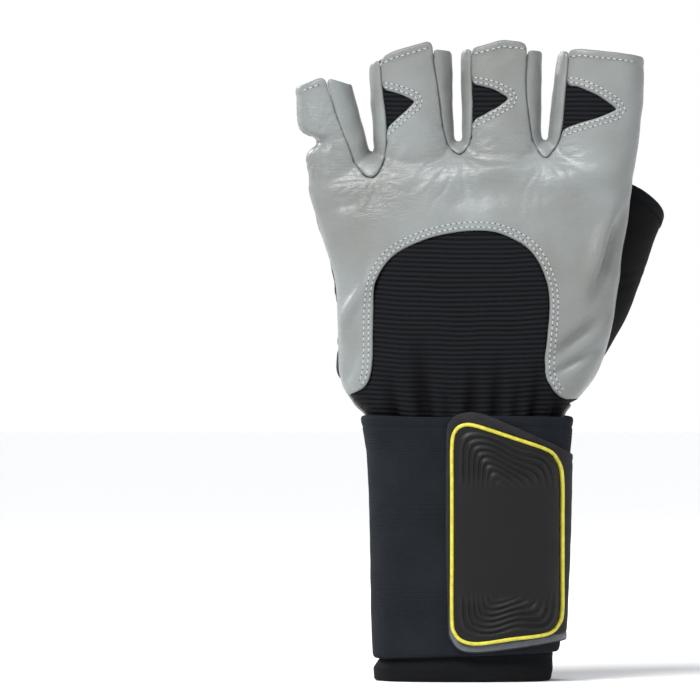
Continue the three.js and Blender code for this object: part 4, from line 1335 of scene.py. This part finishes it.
thumb_middles = thumb_frame()[0][THUMB_CROTCH * 6:]
behind = np.interp(form_points[:, 2], thumb_middles[:, 2], thumb_middles[:, 1])
behind = np.maximum(form_points[:, 1] - behind, thumb_middles[0, 2] - form_points[:, 2])
spandex = zone_distance(spandex_zone, form_points)
crotch = form_points[:, 2] - (CUFF_HEIGHT + arch_end * HAND_RISE)
thumb_or_low = np.minimum(on_thumb, crotch)
lobe = zone_distance(lobe_zone, form_points)
strip_cut = np.maximum.reduce([form_palm, side, -spandex, thumb_or_low, end_of_thumb])
strip_cut = np.minimum(strip_cut, np.maximum(lobe, form_side - 0.0002))
points, normals, faces = panel(np.maximum(strip_cut, -behind), edge)
points = rumpled(points, normals, 0.006, 0.0004, 71.0)
thumb_strip = thick_sheet("thumb_side_strip", points, faces, LEATHER_WALL, worn=0.3)
lay(thumb_strip, 0.035, 0.125, 0.00155, warm_leather, "leather", "thumb_strip")
seam_rows = [
    stitch_row(beside(smooth_rows(wrist_line, 6), shift), STITCH_PITCH, tree_of(piece), palm=True)
    for shift, piece in ((0.0015, thumb_strip), (-0.0015, wrist_band))
]
sew("wrist", seam_rows, "leather")

# Thumb: black stretch cloth round its outer side, let into the leather strip's edge, and a
# rolled hem of black suede bound round its mouth
SPANDEX_WALL = 0.0012
HEM_ROLL = 0.0019
HEM_PUSH = 0.0004
spandex_look, tree, shader = new_material("thumb_stretch_cloth", Specular_IOR_Level=0.12)
fine = wire(tree, "ShaderNodeTexWave", {
    "Vector": millimetres(tree), "Scale": 0.9, "Distortion": 1.2, "Detail": 2.0, "Detail Scale": 2.0,
}, bands_direction="DIAGONAL").outputs["Fac"]
fuzz = noise_node(tree, millimetres(tree), 2.2)
finish_material(tree, shader, two_tone(tree, times(tree, fine, fuzz), (0.004, 0.004, 0.0045),
                                       (0.012, 0.012, 0.014)),
                spread(tree, fuzz, 0.3, 0.7, 0.7, 0.85), fine, 0.0001)
reach = np.maximum.reduce([side, behind, on_thumb])
spandex_cut = np.maximum.reduce([
    form_palm, np.minimum(np.maximum(spandex, thumb_or_low), reach), end_of_thumb,
])
points, normals, faces = panel(spandex_cut, SPANDEX_WALL / 2)
thumb_folds = [(1, 0.400, 0.330, 0.12, 0.010, 20, 0.016), (1, 0.410, 0.370, 0.12, 0.010, 14, 0.014)]
points = raised(points, normals, -fold_depth(points, thumb_folds))
points = rumpled(points, normals, 0.009, 0.0004, 81.0)
thumb_back = thick_sheet("thumb_stretch_back", points, faces, SPANDEX_WALL)
lay(thumb_back, 0.055, 0.095, 0.0035, spandex_look, "spandex", "thumb_spandex")
points, normals, faces = panel(
    np.maximum.reduce([form_past, -THUMB_HEM - form_past - 0.0006, form_thumb - 0.003]), 0.0009)
thumb_hem = thick_sheet("thumb_rolled_hem", points + normals * HEM_PUSH, faces, HEM_ROLL, 5, worn=0.1)
lay(thumb_hem, 0.010, 0.080, 0.00044, black_suede, "spandex", "thumb_hem")
bpy.data.objects.remove(form)

# Pull tabs: two soft suede leaves sewn flat to the palm side of the ring and middle fingers'
# hems, with tips that curl over toward the palm. The glove is drawn off by them.
PULL_TAB_WIDTH = 0.019
PULL_TAB_LENGTH = 0.015
PULL_TAB_LAP = 0.005
PULL_TAB_ROLL = 0.0048
PULL_TAB_PROUD = 0.0015
PULL_TAB_BOW = 0.0022
PULL_TAB_HEM = 0.900
PULL_TAB_SHOULDER = 0.25
PULL_TAB_WALL = 0.0013
for name, middle in (("ring", -0.184), ("middle", 0.093)):
    face = fingers[name][0] * FINGER_DEPTH / 2 + finger_lean[-2] * FINGER_DEPTH + PULL_TAB_PROUD
    hem_height = CUFF_HEIGHT + PULL_TAB_HEM * HAND_RISE
    points = []
    for along in np.linspace(0, PULL_TAB_LAP + PULL_TAB_LENGTH, 40):
        free = max(along - PULL_TAB_LAP, 0)
        angle = free / PULL_TAB_ROLL
        height = hem_height - max(PULL_TAB_LAP - along, 0) + PULL_TAB_ROLL * math.sin(angle)
        out = face + PULL_TAB_ROLL * (1 - math.cos(angle)) + PULL_TAB_WALL
        point = max(free / PULL_TAB_LENGTH - PULL_TAB_SHOULDER, 0) / (1 - PULL_TAB_SHOULDER)
        half = PULL_TAB_WIDTH / 2 * max((1 - point**1.7) ** 0.75, 0.10)
        for side in np.linspace(-1, 1, 19):
            bow = -PULL_TAB_BOW * side**2 * (half / (PULL_TAB_WIDTH / 2)) ** 2
            points.append((
                middle * HAND_WIDTH + side * half, out + bow * math.cos(angle),
                height - bow * math.sin(angle),
            ))
    points = np.array(points)
    points = points + noise_at(points, 0.006, 91.0)[:, None] * (0, 0.0003, 0.0002)
    faces = grid_faces(40, 19)
    if sheet_normals(points, faces)[:19 * 8, 1].mean() < 0:
        faces = [face[::-1] for face in faces]
    tab = thick_sheet("pull_leaf_" + name, points, faces, PULL_TAB_WALL, worn=0.05)
    lay(tab, 0.019, 0.0265, 0.00044, black_suede, "suede", "pull_tab_" + name)

# Wrist wrap: a wide band of charcoal elastic webbing round the wrist, its ends lapped under the
# strap's tab. A closer sleeve of black webbing is sewn inside it and shows at the bottom.
WRAP_LOW_LEFT = 0.087
WRAP_LOW_BACK = 0.135
WRAP_LOW_PALM = 0.215
SLEEVE_WALL = 0.0020
CUFF_SIDES = 220
FINE_SIDES = 720


def cuff_ring(height, grow, sides):
    """An evenly spaced level ring on the cuff, starting at its left side and crossing the back."""
    left, right, deep = cuff_row(height, grow)
    ring = rounded_ring(left, right, deep, deep, 0, height, FINE_SIDES, CUFF_SQUARENESS)
    ring = np.roll(ring, -FINE_SIDES // 2, axis=0)
    ring = np.concatenate((ring, ring[:1]))
    return places_at(ring, np.linspace(0, run_of(ring)[-1], sides + 1)[:-1])


def around_faces(rows, columns, closed=False):
    """The faces between rings of points, and with closed those from the last ring to the first."""
    return [
        [row * columns + side, row * columns + (side + 1) % columns,
         (row + 1) % rows * columns + (side + 1) % columns, (row + 1) % rows * columns + side]
        for row in range(rows if closed else rows - 1) for side in range(columns)
    ]


def outward_faces(points, faces):
    """The same faces, turned so that they look away from the cuff's axis."""
    normals = sheet_normals(points, faces)
    if (normals[:, :2] * points[:, :2]).sum() < 0:
        return [face[::-1] for face in faces]
    return faces


def cuff_skin(rings):
    """Points, normals and faces of an open tube through rings on the cuff."""
    points = np.concatenate(rings)
    faces = outward_faces(points, around_faces(len(rings), CUFF_SIDES))
    return points, sheet_normals(points, faces), faces


def wrap_low(ring):
    """How high the wrap's lower edge is at each point of a ring: it slants, lower on the left."""
    share = (ring[:, 0] / CUFF_WIDTH + 0.9) / 1.8
    back = WRAP_LOW_LEFT + share * (WRAP_LOW_BACK - WRAP_LOW_LEFT)
    palm = WRAP_LOW_LEFT + share * (WRAP_LOW_PALM - WRAP_LOW_LEFT)
    blend = np.clip(ring[:, 1] / 0.016 + 0.5, 0, 1)
    blend = blend * blend * (3 - 2 * blend)
    return (back + (palm - back) * blend) * CUFF_HEIGHT


webbing_tree, webbing_in, webbing_out = new_group("webbing", {"Rows": 0.35}, ("Height", "Tone"))
place = millimetres(webbing_tree)
bend = noise_node(webbing_tree, place, 0.12, 2.0)
bent = wire(webbing_tree, "ShaderNodeVectorMath", {0: place}, operation="ADD")
shift = wire(webbing_tree, "ShaderNodeCombineXYZ", {"Z": times(webbing_tree, bend, 0.8)})
webbing_tree.links.new(shift.outputs[0], bent.inputs[1])
rows_wave = wire(webbing_tree, "ShaderNodeTexWave", {
    "Vector": bent.outputs[0], "Scale": 0.36, "Distortion": 1.2, "Detail": 2.0,
}, bands_direction="Z").outputs["Fac"]
dashes = wire(webbing_tree, "ShaderNodeTexBrick", {
    "Vector": wire(webbing_tree, "ShaderNodeMapping", {
        "Vector": bent.outputs[0], "Rotation": (math.radians(90), 0, 0),
    }).outputs[0],
    "Scale": 1.0, "Mortar Size": 0.16, "Mortar Smooth": 0.8, "Brick Width": 2.1, "Row Height": 0.9,
    "Color1": (1, 1, 1, 1), "Color2": (0.7, 0.7, 0.7, 1), "Mortar": (0, 0, 0, 1),
}).outputs["Color"]
threads = noise_node(webbing_tree, millimetres(webbing_tree, (1, 1, 4)), 1.4, 3.0)
height = plus(webbing_tree, times(webbing_tree, rows_wave, webbing_in["Rows"]),
               times(webbing_tree, dashes, 0.5))
webbing_tree.links.new(plus(webbing_tree, height, times(webbing_tree, threads, 0.6)),
                       webbing_out.inputs["Height"])
cloud = noise_node(webbing_tree, place, 0.05, 3.0)
webbing_tree.links.new(plus(webbing_tree, times(webbing_tree, cloud, 0.5),
                             times(webbing_tree, threads, 0.5)), webbing_out.inputs["Tone"])


def webbing(name, low, high, depth):
    """Elastic webbing: fine rows of yarn that run round the wrist, matt with a faint sheen, with painted
    shade in the weave's low places.
    """
    material, tree, shader = new_material(name, Specular_IOR_Level=0.07)
    weave = wire(tree, "ShaderNodeGroup", node_tree=webbing_tree).outputs
    tone = spread(tree, weave["Tone"], 0.3, 0.7)
    # painted shade: the colour is darker where the weave is low, in the grooves between its rows and
    # dashes
    dark = spread(tree, weave["Height"], 0.3, 1.4, 0.6, 1.0)
    finish_material(tree, shader, two_tone(tree, times(tree, tone, dark), low, high),
                    spread(tree, tone, 0, 1, 0.78, 0.9), weave["Height"], depth)
    return material


charcoal_webbing = webbing("charcoal_webbing", (0.006, 0.0075, 0.0098), (0.0168, 0.020, 0.0255), 0.00018)
black_webbing = webbing("black_webbing", (0.0035, 0.004, 0.0045), (0.009, 0.0095, 0.0105), 0.00016)
low_edge_of_wrap = wrap_low(cuff_ring(CUFF_HEIGHT * 0.1, 0, CUFF_SIDES))
rings = []
for share in np.linspace(0, 1, 130):
    ring = cuff_ring(low_edge_of_wrap.mean() * (1 - share) + CUFF_HEIGHT * share, 0, CUFF_SIDES)
    top = CUFF_HEIGHT - 0.0002 + 0.0002 * np.sin(np.arange(CUFF_SIDES) * 0.11)
    ring[:, 2] = low_edge_of_wrap * (1 - share) + top * share
    rings.append(ring)
points, normals, faces = cuff_skin(rings)
swell = noise_at(points * (1, 1, 0.5), 0.020, 101.0) * 0.0006 + noise_at(points, 0.007, 102.0) * 0.0002
selvage = np.exp(-((CUFF_HEIGHT - points[:, 2] - 0.0028) / 0.0005) ** 2) * 0.0003
lapped = np.clip((points[:, 0] - 0.014) / 0.012, 0, 1) * np.clip((points[:, 2] - 0.068) / 0.012, 0, 1)
lapped = lapped * np.clip((0.006 - points[:, 1]) / 0.006, 0, 1)
points = raised(points, normals, swell - 0.0004 - selvage + 0.0013 * lapped)
wrist_wrap = thick_sheet("wrist_wrap", points, faces, WRAP_WALL, 6)
lay(wrist_wrap, 0.200, 0.084, 0.0161, charcoal_webbing, "elastic", "cuff_wrap")

rings = []
sleeve_top = CUFF_HEIGHT - TUCK_DEPTH - SEAM_GAP
for height in np.linspace(SLEEVE_WALL / 2, sleeve_top, 110):
    tuck = np.interp(height, (0, 0.0045, 0.0078), (0.0014, 0.0010, WRAP_WALL + SEAM_GAP))
    rings.append(cuff_ring(height, -tuck, CUFF_SIDES))
points, normals, faces = cuff_skin(rings)
loose = np.clip(1 - points[:, 2] / 0.012, 0, 1)
points = raised(points, normals, noise_at(points * (1, 1, 0.4), 0.016, 111.0) * 0.0007 * loose)
points[:, 2] += (noise_at(points * (1, 1, 0), 0.018, 112.0) * 0.0003 + 0.0002) * loose
sleeve = thick_sheet("inner_sleeve", points, faces, SLEEVE_WALL, 6)
lay(sleeve, 0.190, 0.083, 0.0146, black_webbing, "elastic", "cuff_sleeve")

# Strap's tab: a soft padded tongue of dark cloth over the lapped ends, with a sealed grey rim
# along its foot. A moulded black rubber badge lies on it inside a raised yellow line.
CUFF_GIRTH = 0.225
TAB_WALL = 0.0016
RIM_WIDE = 0.0030
BADGE_WALL = 0.0010
TRIM_WIDE = 0.0014
TRIM_HIGH = 0.0009
RIDGE_PITCH = 0.00178
RIDGE_HIGH = 0.00055
RIDGE_SOFT = 0.0016
tab_outline = [
    (-0.106, 0.500), (-0.104, 0.930), (-0.085, 0.996), (-0.040, 1.022), (0.031, 1.029),
    (0.120, 1.010), (0.444, 0.904), (0.540, 0.868), (0.700, 0.840),
]
tab_underside = [
    (0.700, 0.180), (0.500, 0.155), (0.300, 0.132), (0.120, 0.115), (0.020, 0.111),
    (-0.050, 0.125), (-0.095, 0.175),
]
trim_outline = [
    (-0.075, 0.500), (-0.075, 0.740), (-0.075, 0.900), (-0.060, 0.955), (-0.020, 0.978), (0.045, 0.975),
    (0.220, 0.931), (0.390, 0.885), (0.440, 0.850), (0.467, 0.785), (0.469, 0.600), (0.469, 0.400),
    (0.468, 0.270), (0.452, 0.222), (0.395, 0.184), (0.220, 0.166), (0.060, 0.149), (-0.020, 0.158),
    (-0.062, 0.190), (-0.075, 0.250),
]


def on_cuff(points):
    """Shares of the cuff's width and height, as X and Z in metres."""
    return np.array(points, float) * (CUFF_WIDTH, CUFF_HEIGHT)


def cuff_sheet(zone, step, grow, margin):
    """Points and faces of a sheet that lies on the back of the cuff inside an outline."""
    low, high = zone.min(axis=0) - margin * 2, zone.max(axis=0) + margin * 2
    heights = np.arange(low[1], high[1], step)
    columns = int(0.5 * CUFF_GIRTH / step)
    points = []
    for height in heights:
        ring = cuff_ring(height, grow, columns * 2)
        points.append(ring[:columns])
    points = np.concatenate(points)
    faces = outward_faces(points, grid_faces(len(heights), columns))
    values = np.maximum(zone_distance(zone, points) + margin, points[:, 1] - SIDE_SEAM)
    return cut_sheet(points, faces, values)


tab_zone = np.concatenate((
    smooth_rows(on_cuff(tab_outline), 5), smooth_rows(on_cuff(tab_underside), 5),
))
trim_zone = smooth_rows(on_cuff(trim_outline), 6, closed=True)
tab_top = SEAM_GAP + TAB_WALL
points, faces = cuff_sheet(tab_zone, 0.0007, tab_top, TAB_WALL / 2)
points, faces = tidy_sheet(points, faces)
normals = sheet_normals(points, faces)
rim = -zone_distance(tab_zone, points)
points = rumpled(points, normals, 0.006, 0.00015, 121.0)
points = raised(points, normals, -np.exp(-((rim - RIM_WIDE) / 0.0005) ** 2) * 0.00025)
foot = np.clip((RIM_WIDE - rim) / 0.0006, 0, 1) * np.clip((0.030 - points[:, 2]) / 0.010, 0, 1)
strap_tab = thick_sheet("strap_tongue", points, faces, TAB_WALL, 6, rim=foot)
tab_cloth, tree, shader = new_material("tab_cloth", Specular_IOR_Level=0.2)
rim_mask = mark_of(tree, "rim")
fuzz = noise_node(tree, millimetres(tree), 1.8, 5.0, 0.7)
blot = noise_node(tree, millimetres(tree), 0.3, 3.0)
cloth_tone = two_tone(tree, times(tree, fuzz, blot), (0.008, 0.008, 0.0095), (0.040, 0.039, 0.045))
rim_tone = two_tone(tree, blot, (0.065, 0.070, 0.078), (0.13, 0.14, 0.155))
mixed = wire(tree, "ShaderNodeMix", {0: rim_mask}, data_type="RGBA")
tree.links.new(cloth_tone, mixed.inputs["A"])
tree.links.new(rim_tone, mixed.inputs["B"])
matt = maths(tree, "SUBTRACT", spread(tree, fuzz, 0.3, 0.7, 0.75, 0.9), times(tree, rim_mask, 0.4))
finish_material(tree, shader, mixed.outputs["Result"], matt, fuzz, 0.0002)
lay(strap_tab, 0.062, 0.090, 0.0046, tab_cloth, "tab_rim", "strap_tab")

badge_top = tab_top + SEAM_GAP + BADGE_WALL
trim_path, _ = resample(np.concatenate((trim_zone, trim_zone[:1])), 0.0008)
points, faces = cuff_sheet(trim_zone, 0.00036, badge_top, TRIM_WIDE / 2 + 0.0001)
points, faces = tidy_sheet(points, faces, 0.0001)
normals = sheet_normals(points, faces)
inward = -zone_distance(trim_zone, points)
sway = 0.0006 * np.sin((points[:, 0] - 0.004) / 0.0031) * np.clip(inward / 0.004, 0.2, 1)
level = points[:, 2] / CUFF_HEIGHT
top_mask = np.clip((level - 0.735) / 0.05, 0, 1)
foot_mask = np.clip((0.345 - level) / 0.05, 0, 1)
mask = np.maximum(top_mask, foot_mask) * np.clip((inward - 0.0014) / 0.0008, 0, 1)
spread_out = np.zeros(len(points))
for place in trim_path:
    apart = np.linalg.norm(points[:, [0, 2]] - place, axis=1)
    spread_out += np.exp(-apart / RIDGE_SOFT) * 0.0008 / RIDGE_SOFT
rounded = -RIDGE_SOFT * np.log(spread_out + 1e-12)
ridge = np.clip(np.sin((rounded + sway) * 2 * math.pi / RIDGE_PITCH) * 0.8 + 0.2, -0.4, 1) * mask
pillow = 0.0003 * np.clip(inward / 0.004, 0, 1)
points = raised(points, normals, ridge * RIDGE_HIGH + pillow)
badge = thick_sheet("rubber_badge", points, faces, BADGE_WALL, 3, ridge=np.clip(ridge, 0, 1))
rubber, tree, shader = new_material("moulded_black_rubber", Specular_IOR_Level=0.22)
ridge_highlight = mark_of(tree, "ridge")
pit = noise_node(tree, millimetres(tree), 3.0, 4.0, 0.7)
rubber_cloud = noise_node(tree, millimetres(tree), 0.12, 3.0)
# painted highlight: the rubber's colour is lighter on the raised ridges
tone = plus(tree, times(tree, ridge_highlight, 0.6), times(tree, rubber_cloud, 0.5))
finish_material(tree, shader, two_tone(tree, tone, (0.003, 0.003, 0.003), (0.009, 0.0085, 0.009)),
                spread(tree, rubber_cloud, 0.3, 0.7, 0.42, 0.56), pit, 0.00006)
fasten(badge, rubber, "moulded_rubber", "strap_badge")


def cuff_point(across, up, grow):
    """The place on the back of the cuff at an X and a Z, and the way out of it."""
    left, right, deep = cuff_row(up, grow)
    middle, half = (left + right) / 2, (right - left) / 2
    share = min(abs((across - middle) / half), 0.999)
    out = deep * (1 - share**CUFF_SQUARENESS) ** (1 / CUFF_SQUARENESS)
    power = CUFF_SQUARENESS - 1
    normal = Vector((
        math.copysign(share**power / half, across - middle), -(out / deep) ** power / deep, 0,
    )).normalized()
    return np.array((across, -out, up)), np.array(normal)


def sweep(places, profile):
    """A closed band along a ring of places and their normals, with a profile (across, out)."""
    spots = np.array([place for place, _ in places])
    normals = np.array([normal for _, normal in places])
    ahead = np.roll(spots, -1, axis=0) - np.roll(spots, 1, axis=0)
    ahead /= np.linalg.norm(ahead, axis=1)[:, None]
    across = np.cross(normals, ahead)
    points = np.concatenate([
        spot + np.array(profile) @ np.array([side_way, normal])
        for spot, side_way, normal in zip(spots, across, normals)
    ])
    return points, around_faces(len(spots), len(profile), closed=True)


trim_places = [cuff_point(across, up, tab_top + SEAM_GAP) for across, up in trim_path]
angles = np.linspace(0, math.pi, 9)
arch = np.column_stack((TRIM_WIDE / 2 * np.cos(angles), BADGE_WALL * 0.55 + TRIM_HIGH * np.sin(angles)))
trim_profile = [*arch, (-TRIM_WIDE / 2, 0.0), (TRIM_WIDE / 2, 0.0)]
points, faces = sweep(trim_places, trim_profile)
trim = put_together("yellow_trim", [(points, faces)])
only(trim)
bpy.ops.object.mode_set(mode="EDIT")
bpy.ops.mesh.select_all(action="SELECT")
bpy.ops.mesh.normals_make_consistent(inside=False)
bpy.ops.object.mode_set(mode="OBJECT")
yellow, tree, shader = new_material("yellow_rubber", Coat_Weight=0.1, Coat_Roughness=0.3)
scuff = noise_node(tree, millimetres(tree), 0.6, 4.0)
tone = two_tone(tree, spread(tree, scuff, 0.35, 0.6), (0.46, 0.40, 0.028), (0.58, 0.53, 0.04))
finish_material(tree, shader, tone, spread(tree, scuff, 0.3, 0.7, 0.35, 0.5),
                noise_node(tree, millimetres(tree), 3.0), 0.00006)
fasten(trim, yellow, "yellow_rubber", "badge_trim")

# Floor, light and camera: a plain pale floor, a soft sun, soft boxes and the photograph's straight-on
# view
PIXEL = 0.00036
LENS_DISTANCE = 3.0
SENSOR = 36
floor = new_object("floor", [(-9, -9, 0), (9, -9, 0), (9, 9, 0), (-9, 9, 0)], [(0, 1, 2, 3)])
floor_look, tree, shader = new_material("pale_floor")
fade = wire(tree, "ShaderNodeTexNoise", {"Vector": millimetres(tree), "Scale": 0.01}).outputs[0]
finish_material(tree, shader, two_tone(tree, fade, (0.93, 0.935, 0.94), (0.95, 0.955, 0.96)),
                spread(tree, fade, 0, 1, 0.6, 0.7), fade, 0.0001, 0.1)
floor.data.materials.append(floor_look)
scene = bpy.context.scene
camera = bpy.data.objects.new("camera", bpy.data.cameras.new("camera"))
scene.collection.objects.link(camera)
camera.data.sensor_width = SENSOR
camera.data.lens = SENSOR * LENS_DISTANCE / (700 * PIXEL)
camera.data.clip_end = 30
camera.location = (-0.0418, -LENS_DISTANCE, 0.1188)
camera.rotation_euler = (math.radians(90), 0, 0)
scene.camera = camera
scene.view_settings.view_transform = "Standard"
scene.world = bpy.data.worlds.new("room")
scene.world.use_nodes = True
room = scene.world.node_tree
facing = wire(room, "ShaderNodeSeparateXYZ", {
    "Vector": room.nodes.new("ShaderNodeTexCoord").outputs["Generated"],
}).outputs["Z"]
band = spread(room, maths(room, "ABSOLUTE", facing), 0.10, 0.30, 1.0, 0.0)
room_tone = two_tone(room, band, (0.19, 0.20, 0.215), (1.0, 1.0, 1.0))
room.links.new(room_tone, room.nodes["Background"].inputs["Color"])


def hang(name, kind, energy, place, way):
    """A lamp at a place that shines a way."""
    lamp = bpy.data.lights.new(name, kind)
    lamp.energy = energy
    held = bpy.data.objects.new(name, lamp)
    bpy.context.scene.collection.objects.link(held)
    held.location = place
    held.rotation_euler = way.to_track_quat("-Z", "Y").to_euler()
    return lamp


hang("key", "SUN", 3.85, (0, 0, 0), Vector((0.45, 0.62, -0.80))).angle = math.radians(28)
for name, place, size, power in (
    ("strip", (1.3, -1.1, 0.7), 0.7, 3), ("top", (0.15, -0.9, 1.7), 0.5, 8),
    ("rear", (-1.3, 1.3, 1.0), 0.6, 20),
):
    hang(name, "AREA", power, place, Vector((0, 0, 0.17)) - Vector(place)).size = size
